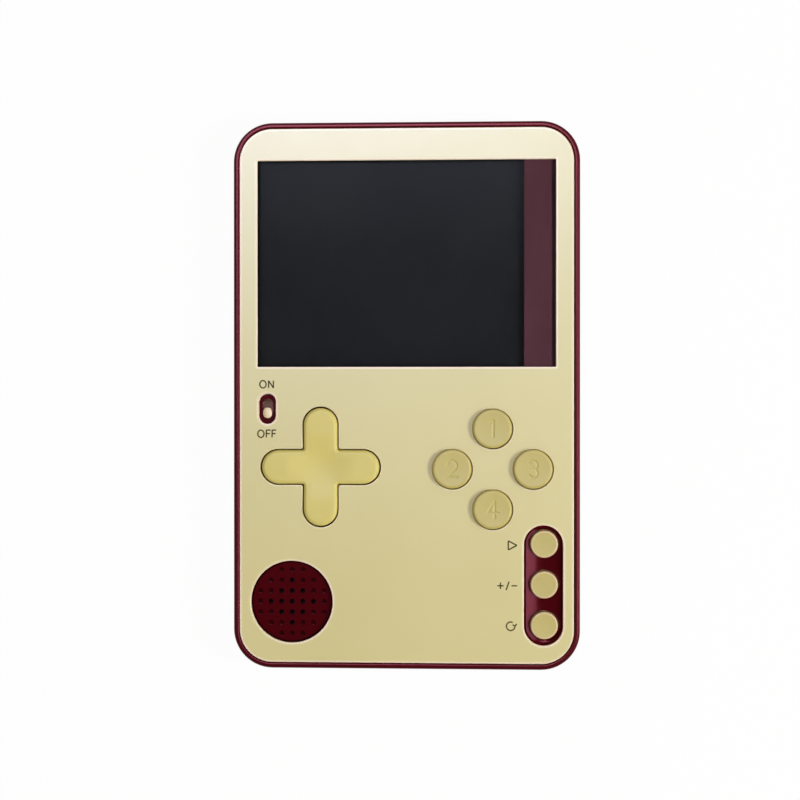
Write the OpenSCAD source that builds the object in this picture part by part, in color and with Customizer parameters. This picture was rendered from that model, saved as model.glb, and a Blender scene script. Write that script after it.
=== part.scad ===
// Handheld game console with a colour screen, a cross key, four action keys,
// three function keys and a slide switch. It lies on its back: Z points out of
// the screen, Y to the upper edge and X to the right. The origin is the middle
// of the back face, and all sizes are in millimetres.

/* [Case] */
// Radius of the four corners, seen from the front
corner_r = 7.3; // [6:0.1:9]
// Side wall of both shells
side_wall = 1.4; // [1.1:0.1:1.8]
// Back wall of the rear shell
rear_wall = 1.2; // [0.9:0.1:2]
// Front wall of the front shell
front_wall = 1.2; // [1:0.1:1.5]
// Rim of the front shell that shows round the face plate
rim_w = 1.15; // [0.9:0.05:1.8]
// Rounding of the rim's outer edge
rim_round = 0.6; // [0.2:0.05:0.8]
// Rounding of the rim's inner edge, which makes the groove beside the plate
groove_round = 0.3; // [0.1:0.05:0.4]
// Rounding of the edge round the back
back_round = 1.8; // [0.5:0.1:2.5]
// Height of the tongue of the rear shell that enters the front shell
tongue_h = 0.8; // [0.4:0.1:1.2]
// Thickness of that tongue
tongue_t = 0.6; // [0.4:0.05:0.8]

/* [Face plate and lens] */
// Thickness of the face plate
plate_t = 0.7; // [0.5:0.05:1.2]
// Adhesive sheet under the face plate
plate_tape_t = 0.1; // [0.05:0.05:0.3]
// Width of the window in the face plate
window_w = 56; // [48:0.5:64]
// Height of the window
window_h = 38.7; // [34:0.1:44]
// Distance from the sides of the case to the window
window_side = 4.5; // [4.4:0.05:7]
// Distance from the upper edge of the case to the window
window_drop = 7.15; // [7:0.05:9]
// Dark strip of the shell that shows beside the picture
strip_w = 5.9; // [3:0.1:8]
// Step of the lens that reaches under the face plate
lens_step_w = 1.0; // [0.6:0.1:1.6]
// Thickness of that step
lens_step_t = 0.3; // [0.2:0.05:0.4]

/* [Screen] */
// Shell wall left over the edge of the screen
screen_cover_t = 0.5; // [0.4:0.05:0.7]
// Foam gasket between the screen and the shell
screen_gasket_t = 0.3; // [0.1:0.05:0.5]
// Upper glass with its polariser
upper_glass_t = 0.65; // [0.4:0.05:0.9]
// Lower glass, which carries the driver ledge
lower_glass_t = 0.5; // [0.3:0.05:0.7]
// Backlight under the glass
backlight_t = 1.0; // [0.7:0.05:1.3]
// Wall of the backlight tray round the glass
tray_wall = 0.7; // [0.4:0.05:1]
// Screen module beyond the left edge of the window
module_left = 1.7; // [1.2:0.1:2]
// Screen module beyond the right edge of the window
module_right = 1.7; // [1.2:0.1:2]
// Screen module beyond the upper and lower edge of the window
module_ends = 2.0; // [1.4:0.1:2.2]
// Width of the driver ledge of the lower glass
ledge_w = 5.6; // [4.5:0.1:7]
// Length and width of the driver chip on the ledge
driver_size = [1.2, 21]; // [1:0.1:22]
// Thickness of the driver chip
driver_t = 0.35; // [0.2:0.05:0.5]
// Width of the screen's flex
flex_w = 16; // [8:0.5:24]
// Thickness of the flex
flex_t = 0.12; // [0.08:0.01:0.2]
// Outer radius of the bends of the flex
flex_bend = 0.4; // [0.3:0.05:0.45]
// Length of the flex that lies on the circuit board
flex_foot = 8; // [4:0.5:12]
// Length of the flex that is bonded to the ledge of the glass
flex_bond = 2.2; // [1.5:0.1:3]

/* [Cross key] */
// Span of the cross from end to end
cross_span = 22.1; // [19:0.1:24]
// Width of an arm
cross_arm = 6.3; // [5:0.1:8]
// Distance from the left side of the case to the cross
cross_side = 5.4; // [4.5:0.1:6]
// Distance from the window down to the cross
cross_clear = 7.75; // [7.6:0.05:9]
// Height of the cross above the face plate
cross_proud = 0.7; // [0.3:0.05:1.5]
// Rounding of the upper edges of the cross
cross_round = 0.6; // [0.2:0.05:0.8]
// Diameter of the thumb dish
dish_d = 8.4; // [5:0.1:8.6]
// Depth of the thumb dish
dish_depth = 0.35; // [0.1:0.05:0.5]
// Radius of the flange that keeps the cross in the case
cross_flange_r = 9; // [7:0.1:9.5]
// Thickness of that flange
cross_flange_t = 0.8; // [0.5:0.05:0.9]
// Tilt of the cross to each side, in degrees
cross_tilt = 3; // [1:0.5:4]
// Radius of the pivot ball
pivot_r = 1.0; // [0.8:0.05:1.1]
// Distance from the middle of the cross to each silicone dome
cross_dome_reach = 7.0; // [6.6:0.1:7.2]
// Diameter of those domes at the board
cross_dome_d = 4.8; // [4.2:0.1:5]
// Diameter of those domes at the top
cross_dome_top_d = 3.1; // [2.8:0.1:3.6]
// Diameter of the contact pills under the cross
cross_pill_d = 1.9; // [1.4:0.1:2.1]

/* [Action keys] */
// Diameter of an action key
action_d = 7.3; // [6:0.1:8.4]
// Distance from the middle of the group to each key
action_spread = 7.55; // [7.2:0.05:8.2]
// Distance from the right side of the case to the action keys
action_side = 5.1; // [4.5:0.05:6]
// Distance from the middle of the cross down to the middle of the group
action_lower = 0.3; // [0:0.05:1]
// Height of an action key above the face plate
action_proud = 1.1; // [0.8:0.05:1.6]
// Travel of an action key, until its contact pill meets the board
action_travel = 0.7; // [0.4:0.05:0.8]
// Depth of the hollow in an action key's top
action_dish = 0.12; // [0.05:0.01:0.3]
// Diameter of the silicone dome under an action key, at the top
action_dome_top_d = 5.0; // [4.4:0.1:5.6]
// Diameter of the contact pill under an action key
action_pill_d = 3.4; // [2.6:0.1:3.8]

/* [Function keys] */
// Diameter of a function key
function_d = 5.05; // [4:0.05:5.6]
// Distance between function keys
function_pitch = 7.6; // [6.8:0.02:8]
// Distance from the right side of the case to the slot round the row
function_side = 3.15; // [2.9:0.05:4.5]
// Distance from the lower edge of the case to that slot
function_edge = 4.55; // [4.2:0.05:6]
// Height of a function key above the face plate
function_proud = 0.2; // [0:0.05:0.8]
// Travel of a function key, until its contact pill meets the board
function_travel = 0.5; // [0.3:0.05:0.8]
// Depth of the hollow in a function key's top
function_dish = 0.06; // [0.03:0.01:0.2]
// Diameter of the silicone dome under a function key, at the top
function_dome_top_d = 3.5; // [3.2:0.1:3.8]
// Diameter of the contact pill under a function key
function_pill_d = 2.3; // [1.8:0.1:2.6]
// Width of the slot of the face plate round the row
slot_w = 7.3; // [6.5:0.1:8.5]
// How far the function keys sit to the right of and above the middle of their slot
function_shift = 0.15; // [0:0.05:0.3]
// Depth of the scooped floor in the slot, below the shell's face
scoop_depth = 0.5; // [0.2:0.05:0.6]
// Rounding between the floor of the scoop and its sides
scoop_round = 1.4; // [0.8:0.05:2]

/* [All keys] */
// Rounding of a round key's upper edge
key_round = 0.5; // [0.2:0.05:0.6]
// Flange of a round key beyond its cap
key_flange_w = 0.5; // [0.3:0.05:0.6]
// Thickness of that flange
key_flange_t = 0.8; // [0.5:0.05:0.9]
// Base sheet of a silicone keypad
keypad_t = 0.5; // [0.3:0.05:0.6]
// Base sheet beyond the domes
keypad_margin = 0.6; // [0.3:0.05:0.65]
// Wall of a silicone dome
dome_wall = 0.4; // [0.3:0.05:0.5]
// Height of the straight top of a silicone dome
dome_top_t = 0.5; // [0.3:0.05:0.6]
// Thickness of a contact pill
pill_t = 0.3; // [0.2:0.05:0.4]

/* [Power switch] */
// Distance from the left side of the case to the middle of the switch
switch_inset = 6.4; // [6:0.05:7.5]
// Distance from the window down to the middle of the switch
switch_drop = 7.9; // [7:0.05:8.4]
// Travel of the knob
switch_travel = 1.8; // [1:0.1:2.2]
// Diameter of the knob
knob_d = 1.75; // [1.5:0.05:2.2]
// Depth of the knob's top below the face of the plate
knob_sink = 0.3; // [0:0.05:0.6]
// Height of the domed end of the knob
knob_dome = 0.3; // [0.1:0.05:0.5]
// Slider under the knob, beyond it at each end
slider_end = 0.6; // [0.3:0.05:0.8]
// Insulating base of the switch
switch_base_t = 0.5; // [0.3:0.05:0.7]
// Side margin of the plate's opening beyond the shell's slot
well_side = 0.6; // [0.3:0.05:0.8]
// End margin of the plate's opening beyond the shell's slot
well_end = 0.9; // [0.4:0.05:1]
// Width of the metal can of the switch
can_w = 3.4; // [3:0.1:3.6]
// Height of the can above the circuit board
can_h = 2.0; // [1.6:0.1:2.3]
// Sheet of the can
can_sheet = 0.25; // [0.15:0.05:0.3]

/* [Speaker] */
// Diameter of the speaker
speaker_d = 17; // [14:0.5:17.5]
// Thickness of the speaker
speaker_t = 3.0; // [2.4:0.1:3.2]
// Distance from the left side of the case to the speaker
speaker_side = 2.5; // [2.4:0.05:4]
// Distance from the lower edge of the case to the speaker
speaker_edge = 4.0; // [3:0.05:6]
// Distance from the cross down to the speaker
speaker_clear = 5.8; // [4.6:0.05:8]
// Diameter of the opening of the face plate over the grille
grille_d = 15.4; // [12:0.1:16]
// Diameter of a grille hole
grille_hole_d = 0.95; // [0.6:0.05:1.2]
// Distance between grille holes
grille_pitch = 2.0; // [1.6:0.1:3]
// Plain border between the grille holes and the edge of the opening
grille_margin = 1.2; // [0.8:0.1:2]
// Diameter of the field of holes that go through; the others are blind
through_d = 8.4; // [4:0.1:14]
// Depth of the blind holes
blind_depth = 0.6; // [0.3:0.05:0.8]
// Outer diameter of the ring of the rear shell that carries the speaker's back
speaker_seat_d = 13; // [11:0.1:13.4]
// Depth of the collar that the speaker drops into
collar_h = 1.0; // [0.5:0.1:1.4]
// Foam ring between the speaker and the dust cloth
speaker_gasket_t = 0.2; // [0.1:0.05:0.3]
// Dust cloth under the grille
cloth_t = 0.2; // [0.1:0.05:0.3]
// Diameter of the speaker's magnet cup
magnet_d = 8.5; // [7.6:0.1:9.5]
// Height of the magnet cup
magnet_h = 1.5; // [1.2:0.1:1.7]
// Inner diameter of the voice coil
coil_d = 6.1; // [5:0.1:6.6]
// Thickness of the coil's winding
coil_t = 0.3; // [0.2:0.05:0.4]
// Diameter of the speaker's flat back
basket_d = 13.6; // [11:0.1:14]
// Sheet of the basket
basket_t = 0.4; // [0.3:0.05:0.5]
// Width of the lip round the cone
lip_w = 1.0; // [0.7:0.05:1.2]
// Height of that lip
lip_t = 0.6; // [0.4:0.05:0.8]
// Film of the cone
cone_t = 0.15; // [0.1:0.01:0.25]
// Drop of the cone from its edge to the coil
cone_drop = 0.2; // [0.1:0.05:0.3]
// Rise of the domed middle of the cone
cone_rise = 0.3; // [0.1:0.05:0.4]
// Terminal tab of the speaker, beyond its edge
terminal_l = 0.8; // [0.7:0.1:1.2]
// Thickness of that tab
terminal_t = 0.4; // [0.3:0.05:0.5]

/* [Circuit board] */
// Space under the board for its parts
board_lift = 1.0; // [0.95:0.05:1.2]
// Thickness of the board
board_t = 1.0; // [0.8:0.1:1.2]
// Distance from the board to the side walls
board_gap = 0.5; // [0.3:0.05:0.8]
// Distance from the screen module down to the board
board_drop = 2.3; // [2:0.1:2.6]
// Distance from the battery to the arm of the board that reaches behind the screen
board_arm_gap = 2.5; // [1.6:0.1:3]
// Height of that arm
board_arm_h = 36; // [32:0.5:42]
// Diameter of the posts that carry the board
post_d = 3.0; // [2.6:0.1:3.4]
// Distance from the sides of the case to the outer posts
post_inset = 4.2; // [4.1:0.05:4.5]
// Distance from the cross key's middle down to the post at the left side
post_drop = 10.5; // [10:0.1:11]
// Distance from the blob down to the post under it
post_under = 9.2; // [8.8:0.1:10]
// Distance from the action keys' middle up to the post at the right side
post_rise = 12.3; // [12:0.1:12.6]
// Distance from the function keys to the post beside them
post_side = 15; // [12:0.1:16]
// Diameter of the stubs of the rear shell that back the board under the keys
stub_d = 2.4; // [1.6:0.1:3]
// Distance from the end of the arm to its stub
stub_end = 3; // [2:0.1:5]
// Height of the parts under the board
part_h = 0.8; // [0.4:0.05:0.9]
// Diameter of the epoxy blob over the processor
blob_d = 10; // [8:0.2:11]
// Length and width of the memory chip
memory_size = [4.4, 5]; // [3:0.1:6]
// Distance from the blob up to the memory chip
memory_rise = 8.6; // [8.2:0.1:9]
// Distance between the legs of the memory chip
leg_pitch = 1.27; // [0.8:0.01:1.3]
// Width of a chip's leg
leg_w = 0.4; // [0.2:0.05:0.5]
// Length of a chip's leg
leg_l = 0.7; // [0.4:0.05:1]
// Thickness of a chip's leg
leg_t = 0.2; // [0.1:0.05:0.3]
// Length and width of the crystal
crystal_size = [3.2, 2.5]; // [2:0.1:4]
// Distance from the blob to the crystal, to the right
crystal_side = 7.6; // [7.2:0.1:8]
// Flange of the crystal's lid
crystal_flange = 0.25; // [0.1:0.05:0.4]
// Thickness of that flange
crystal_flange_t = 0.4; // [0.2:0.05:0.5]
// Length and width of the charging chip
charger_size = [1.6, 2.9]; // [1:0.1:3.5]
// Distance between the legs of the charging chip
charger_pitch = 0.95; // [0.6:0.05:1]
// Distance from the lower edge of the case to the charging chip
charger_rise = 7.5; // [7:0.1:8]
// Length and width of a small capacitor or resistor
passive_size = [0.8, 1.6]; // [0.5:0.1:2]
// Distance between small parts in a row
passive_pitch = 2.4; // [2.1:0.1:2.6]
// Distance from the blob down to its row of small parts
passive_drop = 6.3; // [6:0.1:6.6]
// Distance from the charging chip up to its row of small parts
passive_rise = 3.5; // [3:0.1:4]

/* [Charging socket] */
// Width of the socket
socket_w = 7.5; // [7:0.1:8]
// Height of the socket
socket_t = 2.4; // [2.2:0.05:2.6]
// Depth of the socket
socket_l = 5.2; // [4.6:0.1:6]
// Sheet of the socket's shell
socket_sheet = 0.25; // [0.2:0.05:0.35]
// Bevel of the socket's two lower corners
socket_bevel = 0.9; // [0.5:0.05:1.1]
// Depth of the socket's mouth behind the lower edge of the case
socket_sink = 0.2; // [0:0.05:0.5]
// Depth of the insulating block at the end of the socket
block_l = 1.4; // [1:0.1:2]
// Width of the contact blade in the socket
blade_w = 3.8; // [3:0.1:4.4]
// Thickness of the blade
blade_t = 0.6; // [0.4:0.05:0.7]
// Depth of the blade's tip behind the mouth
blade_sink = 1.0; // [0.5:0.1:1.5]

/* [Battery] */
// Width of the cell
cell_w = 36; // [28:0.5:37]
// Height of the cell
cell_h = 37; // [28:0.5:38]
// Thickness of the cell
cell_t = 2.7; // [2:0.1:3.5]
// Distance from the left wall to the cell
cell_side = 2.6; // [1.8:0.1:3]
// Radius of the cell's corners
cell_r = 1.2; // [0.6:0.1:2]
// Sealed seam at the ends of the cell
seam_w = 2.5; // [1.8:0.1:3]
// Thickness of that seam
seam_t = 0.3; // [0.2:0.05:0.4]
// Width and height of the tape's two sides under the cell
cell_tape_size = [22, 22]; // [12:0.5:28]
// Length of the guard board on the seam
guard_l = 25; // [16:0.5:30]
// Thickness of the guard board
guard_t = 0.6; // [0.4:0.05:0.8]
// Adhesive tape under the cell
cell_tape_t = 0.1; // [0.05:0.05:0.2]
// Room above the cell, for its swelling
swell_gap = 0.25; // [0.15:0.05:0.6]
// Height of the ribs round the cell
rib_h = 1.2; // [0.6:0.1:2]
// Length of the ribs at each corner of the cell
rib_l = 5; // [3:0.1:8]
// Thickness of the ribs
rib_t = 0.8; // [0.5:0.1:1.2]
// Diameter of a lead
lead_d = 0.7; // [0.5:0.05:0.8]
// Distance between two leads
lead_pitch = 1.5; // [1.1:0.1:2]
// Distance from the middle of the cell to its leads, to the right
lead_shift = 7.2; // [4:0.1:9]
// Length of a lead on the board
lead_land = 2.2; // [1.5:0.1:3]

/* [Screws] */
// Thread diameter of the screws
screw_d = 1.4; // [1.2:0.1:1.6]
// Diameter of a screw head
head_d = 2.6; // [2.2:0.1:2.8]
// Thickness of a screw head
head_t = 0.7; // [0.5:0.05:0.8]
// Diameter of the head's flat end, past its bevel
head_end_d = 2.2; // [1.8:0.1:2.5]
// Span of the cross recess in the head
recess_l = 1.6; // [1.2:0.1:1.8]
// Width of that recess
recess_w = 0.4; // [0.3:0.05:0.6]
// Length of a screw's tip
tip_l = 0.7; // [0.4:0.1:1]
// Diameter of the tip's end
tip_d = 0.5; // [0.3:0.1:0.8]
// Depth of the seat of a case screw, from the back
head_sink = 1.5; // [1.1:0.1:2]
// Diameter of the screw bosses of the front shell
boss_d = 3.0; // [2.6:0.1:3.2]
// Distance from the sides of the case to the case screws
screw_inset_x = 5.95; // [5.9:0.05:7]
// Distance from the upper and lower edges to the case screws
screw_inset_y = 3.3; // [3.2:0.05:3.4]
// Plastic under the head of a case screw
seat_t = 1.0; // [0.6:0.1:1.2]
// Wall round the head of a case screw
head_wall = 0.6; // [0.4:0.05:0.8]
// Depth of the screw bores into the front wall
bore_end = 0.3; // [0.1:0.05:0.5]

/* [Clearances] */
// Gap between a round key and its opening
key_gap = 0.2; // [0.1:0.05:0.3]
// Gap round the lens and between plate and rim
fit_gap = 0.1; // [0.05:0.01:0.15]
// Gap between pieces that lie close but are not bonded
stack_gap = 0.05; // [0.02:0.01:0.1]
// Gap that is left when the cross key is tilted as far as it goes
rock_gap = 0.1; // [0.05:0.01:0.15]
// Room round pieces that are dropped into a pocket
pocket_gap = 0.3; // [0.15:0.05:0.4]

/* [Hidden] */
$fn = 64;
// Overlap of cuts that run out of a surface
cut = 1;

// Colours of the pieces
shell_red = "#55101c";
plate_cream = "#ded6ac";
key_cream = "#cfc488";
silicone_grey = "#8d9094";
carbon_black = "#1d1d1f";
board_green = "#1f5a38";
metal_grey = "#b4b6b8";
part_black = "#26272a";
foam_black = "#2e2e30";
film_amber = "#b8762a";
lens_clear = "#b9c6c8";
glass_dark = "#24282c";
tray_white = "#e8e8e4";
cell_silver = "#a9adb1";
tape_white = "#f0efe8";
wire_red = "#a82020";
coil_copper = "#b06a35";

// Heights of the stacked pieces, from the back face up
z_cell = rear_wall + cell_tape_t;
z_screen = z_cell + cell_t + swell_gap;
z_glass = z_screen + backlight_t;
z_ledge = z_glass + lower_glass_t;
z_screen_top = z_ledge + upper_glass_t;
z_pocket = z_screen_top + screen_gasket_t;
z_shell = z_pocket + screen_cover_t;
z_plate = z_shell + plate_tape_t;
z_face = z_plate + plate_t;
z_under = z_shell - front_wall;
z_board = rear_wall + board_lift;
z_board_top = z_board + board_t;
z_split = z_board_top + socket_t / 2;
z_key_flange = z_under - stack_gap - key_flange_t;
z_pivot = z_board_top + stack_gap + pivot_r;
z_cross_flange_top = z_under - rock_gap - cross_flange_r * sqrt(2) * sin(cross_tilt);
z_cross_flange = z_cross_flange_top - cross_flange_t;
z_speaker_top = z_under - cloth_t - speaker_gasket_t;
z_speaker = z_speaker_top - speaker_t;
z_boss = head_sink + seat_t + stack_gap;

// The case goes round the window, and round the cross and the speaker below it
body_w = window_w + 2 * window_side;
body_h = window_drop + window_h + cross_clear + cross_span + speaker_clear + speaker_d + speaker_edge;

// Edges and middles of the pieces on the face
half_w = body_w / 2;
half_h = body_h / 2;
rim_t = rim_w - fit_gap;
window_low = half_h - window_drop - window_h;
window_y = window_low + window_h / 2;
module_w = window_w + module_left + module_right;
module_h = window_h + 2 * module_ends;
module_x = (module_right - module_left) / 2;
picture_right = window_w / 2 - strip_w;
cross_at = [cross_side + cross_span / 2 - half_w, window_low - cross_clear - cross_span / 2];
cross_gap = (z_face - z_pivot) * sin(cross_tilt) + rock_gap;
action_at = [half_w - action_side - action_d / 2 - action_spread, cross_at[1] - action_lower];
action_sides = [[0, 1], [-1, 0], [1, 0], [0, -1]];
slot_h = 2 * function_pitch + slot_w;
slot_at = [half_w - function_side - slot_w / 2, function_edge + slot_h / 2 - half_h];
function_at = slot_at + [function_shift, function_shift];
switch_at = [switch_inset - half_w, window_low - switch_drop];
knob_slot_w = knob_d + pocket_gap;
knob_slot_h = knob_slot_w + switch_travel;
knob_y = switch_at[1] - switch_travel / 2;
speaker_r = speaker_d / 2;
speaker_at = [speaker_side + speaker_r - half_w, speaker_edge + speaker_r - half_h];
speaker_seat_r = speaker_seat_d / 2;
cell_at = [side_wall + cell_side + cell_w / 2 - half_w, window_y];
case_screws_at = [
    for (x = [-1, 1], y = [-1, 1])
        [x * (half_w - screw_inset_x), y * (half_h - screw_inset_y)]
];
rear_boss_d = head_d + 2 * (fit_gap + head_wall);

// The circuit board: an L round the battery and the speaker
board_inset = side_wall + board_gap;
board_top = window_y - module_h / 2 - board_drop;
board_arm_x = cell_at[0] + cell_w / 2 + board_arm_gap;
board_arm_top = board_top + board_arm_h;
speaker_cut_x = speaker_at[0] + speaker_r + 2 * pocket_gap;
speaker_cut_y = speaker_at[1] + speaker_r + 2 * pocket_gap;
board_posts_at = [
    [0, cross_at[1] - post_under],
    [function_at[0] - post_side, function_at[1]],
    [post_inset - half_w, cross_at[1] - post_drop],
    [half_w - post_inset, action_at[1] + post_rise]
];
board_stubs_at = [
    cross_at,
    action_at,
    [function_at[0], function_at[1] + function_pitch / 2],
    [-socket_w, socket_sink + socket_l + stub_d - half_h],
    [(board_arm_x + half_w - board_inset) / 2, board_arm_top - stub_end]
];
blob_at = [0, cross_at[1]];
memory_at = blob_at + [0, memory_rise];
crystal_at = blob_at + [crystal_side, 0];
charger_at = [socket_w / 2 + charger_size[0] + leg_l, charger_rise - half_h];
blob_passives = 5;
charger_passives = 4;
passives_at = concat(
    [
        for (i = [0:blob_passives - 1])
            blob_at + [passive_pitch * (i - (blob_passives - 1) / 2), -passive_drop]
    ],
    [for (i = [0:charger_passives - 1]) charger_at + [-passive_pitch * i, passive_rise]]
);

// A battery lead, as points from the guard board's side of the seam to its pad on the board
lead_sides = 8;
lead_z = z_board_top + lead_d / 2 + stack_gap;
lead_start_z = z_cell + (cell_t + lead_d) / 2;
lead_start_y = cell_at[1] - cell_h / 2 - stack_gap;
battery_lead_x = [for (k = [0, 1]) cell_at[0] + lead_shift + k * lead_pitch];
function battery_lead(x) = [
    [x, lead_start_y, lead_start_z],
    [x, lead_start_y - lead_d, lead_start_z],
    [x, (lead_start_y - lead_d + board_top) / 2, (lead_start_z + lead_z) / 2],
    [x, board_top, lead_z],
    [x, board_top - lead_land, lead_z]
];

// Rectangle with round corners, about the origin.
module round_rect(w, h, r) {
    square([w - 2 * r, h], center = true);
    square([w, h - 2 * r], center = true);
    for (x = [-1, 1], y = [-1, 1])
        translate([x * (w / 2 - r), y * (h / 2 - r)])
            circle(r);
}

// The outline of the case, moved inwards.
module case_outline(inset) {
    round_rect(body_w - 2 * inset, body_h - 2 * inset, corner_r - inset);
}

// Slot with round ends, along Y.
module obround(w, h) {
    square([w, h - w], center = true);
    for (y = [-1, 1])
        translate([0, y * (h - w) / 2])
            circle(d = w);
}

// What lies outside a quarter circle, to round a corner of a section.
module outside_quarter(r) {
    difference() {
        square(r + cut);
        circle(r);
    }
}

// Carries a section round the outline of the case. In the section x is the
// distance from the middle of a corner and y is the height.
module round_outline() {
    for (k = [0:3]) {
        across = k % 2 == 0 ? half_w : half_h;
        along = k % 2 == 0 ? half_h : half_w;
        rotate(90 * k) {
            translate([across - corner_r, along - corner_r, 0])
                rotate_extrude(angle = 90)
                    children();
            translate([across - corner_r, 0, 0])
                rotate([90, 0, 0])
                    linear_extrude(2 * (along - corner_r), center = true)
                        children();
        }
    }
}

// The flat middle inside round_outline.
module case_core(z, t) {
    translate([0, 0, z])
        linear_extrude(t)
            square([body_w - 2 * corner_r, body_h - 2 * corner_r], center = true);
}

// Bar along Y with round ends, standing on z = 0, its upper edge rounded.
module rounded_bar(w, h, t, r) {
    module half_section() {
        difference() {
            square([w / 2, t]);
            translate([w / 2 - r, t - r])
                outside_quarter(r);
        }
    }
    rotate([90, 0, 0])
        linear_extrude(h - w, center = true) {
            half_section();
            mirror([1, 0])
                half_section();
        }
    for (side = [0, 180])
        rotate(side)
            translate([0, (h - w) / 2, 0])
                rotate_extrude(angle = 180)
                    half_section();
}

// Cut that lets the charging socket through the lower wall.
module socket_cut() {
    translate([0, -half_h, z_board_top + socket_t / 2])
        cube([socket_w + 2 * fit_gap, 2 * (side_wall + cut), socket_t + 2 * fit_gap], center = true);
}

// Section of the rear shell: floor, rounded back edge, wall and tongue.
module rear_section() {
    difference() {
        union() {
            square([corner_r, rear_wall]);
            translate([corner_r - side_wall, 0])
                square([side_wall, z_split]);
            translate([corner_r - side_wall, 0])
                square([tongue_t, z_split + tongue_h - fit_gap]);
        }
        translate([corner_r - back_round, back_round])
            mirror([0, 1])
                outside_quarter(back_round);
    }
}

module rear_shell() {
    color(shell_red)
        difference() {
            union() {
                round_outline()
                    rear_section();
                case_core(0, rear_wall);
                for (at = case_screws_at)
                    translate(at)
                        cylinder(d = rear_boss_d, h = head_sink + seat_t);
                for (at = board_stubs_at)
                    translate(at)
                        cylinder(d = stub_d, h = z_board - stack_gap);
                translate(speaker_at)
                    difference() {
                        cylinder(r = speaker_seat_r, h = z_speaker);
                        cylinder(r = speaker_seat_r - rib_t, h = z_speaker + cut);
                    }
                cell_ribs();
            }
            for (at = case_screws_at)
                translate(at) {
                    translate([0, 0, -cut])
                        cylinder(d = head_d + 2 * fit_gap, h = head_sink + cut);
                    cylinder(d = screw_d + 2 * fit_gap, h = z_split);
                }
            socket_cut();
        }
}

// Ribs of the rear shell round the corners of the battery.
module cell_ribs() {
    x_in = cell_w / 2 + pocket_gap;
    y_in = cell_h / 2 + pocket_gap;
    for (x = [0, 1], y = [0, 1])
        translate([cell_at[0], cell_at[1], 0])
            mirror([x, 0, 0])
                mirror([0, y, 0]) {
                    translate([x_in, y_in - rib_l, 0])
                        cube([rib_t, rib_l + rib_t, rear_wall + rib_h]);
                    translate([x_in - rib_l, y_in, 0])
                        cube([rib_l + rib_t, rib_t, rear_wall + rib_h]);
                }
}

// Self-tapping screw, its head's seat at z = 0 and its thread upwards.
module screw(l) {
    difference() {
        union() {
            translate([0, 0, -head_t])
                cylinder(d1 = head_end_d, d2 = head_d, h = head_t / 2);
            translate([0, 0, -head_t / 2])
                cylinder(d = head_d, h = head_t / 2);
            cylinder(d = screw_d - 2 * fit_gap, h = l - tip_l);
            translate([0, 0, l - tip_l])
                cylinder(d1 = screw_d - 2 * fit_gap, d2 = tip_d, h = tip_l);
        }
        for (turn = [0, 90])
            rotate(turn)
                translate([0, 0, -head_t])
                    cube([recess_l, recess_w, head_t], center = true);
    }
}

module case_screws() {
    color(metal_grey)
        for (at = case_screws_at)
            translate([at[0], at[1], head_sink])
                screw(z_under - head_sink);
}

// Section of the front shell: front wall, side wall, rim and the rabbet for the tongue.
module front_section() {
    skin = side_wall - tongue_t - fit_gap;
    outer = min(rim_round, rim_t - groove_round);
    difference() {
        union() {
            translate([0, z_under])
                square([corner_r, front_wall]);
            translate([corner_r - side_wall, z_split])
                square([side_wall, z_shell - z_split]);
            translate([corner_r - rim_t, z_under])
                square([rim_t, z_face - z_under]);
        }
        translate([corner_r - side_wall - cut, z_split - cut])
            square([side_wall + cut - skin, tongue_h + cut]);
        translate([corner_r - outer, z_face - outer])
            outside_quarter(outer);
        translate([corner_r - rim_t + groove_round, z_face - groove_round])
            mirror([1, 0])
                outside_quarter(groove_round);
    }
}

// Opening for the cross key, in the shell and the face plate.
module cross_opening() {
    translate(cross_at)
        for (turn = [0, 90])
            rotate(turn)
                obround(cross_arm + 2 * cross_gap, cross_span + 2 * cross_gap);
}

// Openings for the action keys.
module action_openings() {
    for (side = action_sides)
        translate(action_at + action_spread * side)
            circle(d = action_d + 2 * key_gap);
}

// Openings of the shell for the function keys.
module function_openings() {
    for (k = [-1:1])
        translate(function_at + [0, k * function_pitch])
            circle(d = function_d + 2 * key_gap);
}

// Scooped floor of the function slot, as the body that is cut away.
module function_scoop() {
    deep = min(scoop_depth, scoop_round);
    side = scoop_round - sqrt(scoop_round * scoop_round - pow(scoop_round - deep, 2));
    translate([slot_at[0], slot_at[1], z_shell - deep])
        mirror([0, 0, 1])
            translate([0, 0, -scoop_round - cut])
                rounded_bar(slot_w + 2 * side, slot_h + 2 * side, scoop_round + cut, scoop_round);
}

// Holes of the speaker grille: every point of a square grid inside a circle.
module grille_holes(field_d) {
    steps = floor(field_d / 2 / grille_pitch);
    for (i = [-steps:steps], j = [-steps:steps])
        if (norm([i, j]) * grille_pitch <= field_d / 2)
            translate(speaker_at + grille_pitch * [i, j])
                circle(d = grille_hole_d);
}

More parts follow.
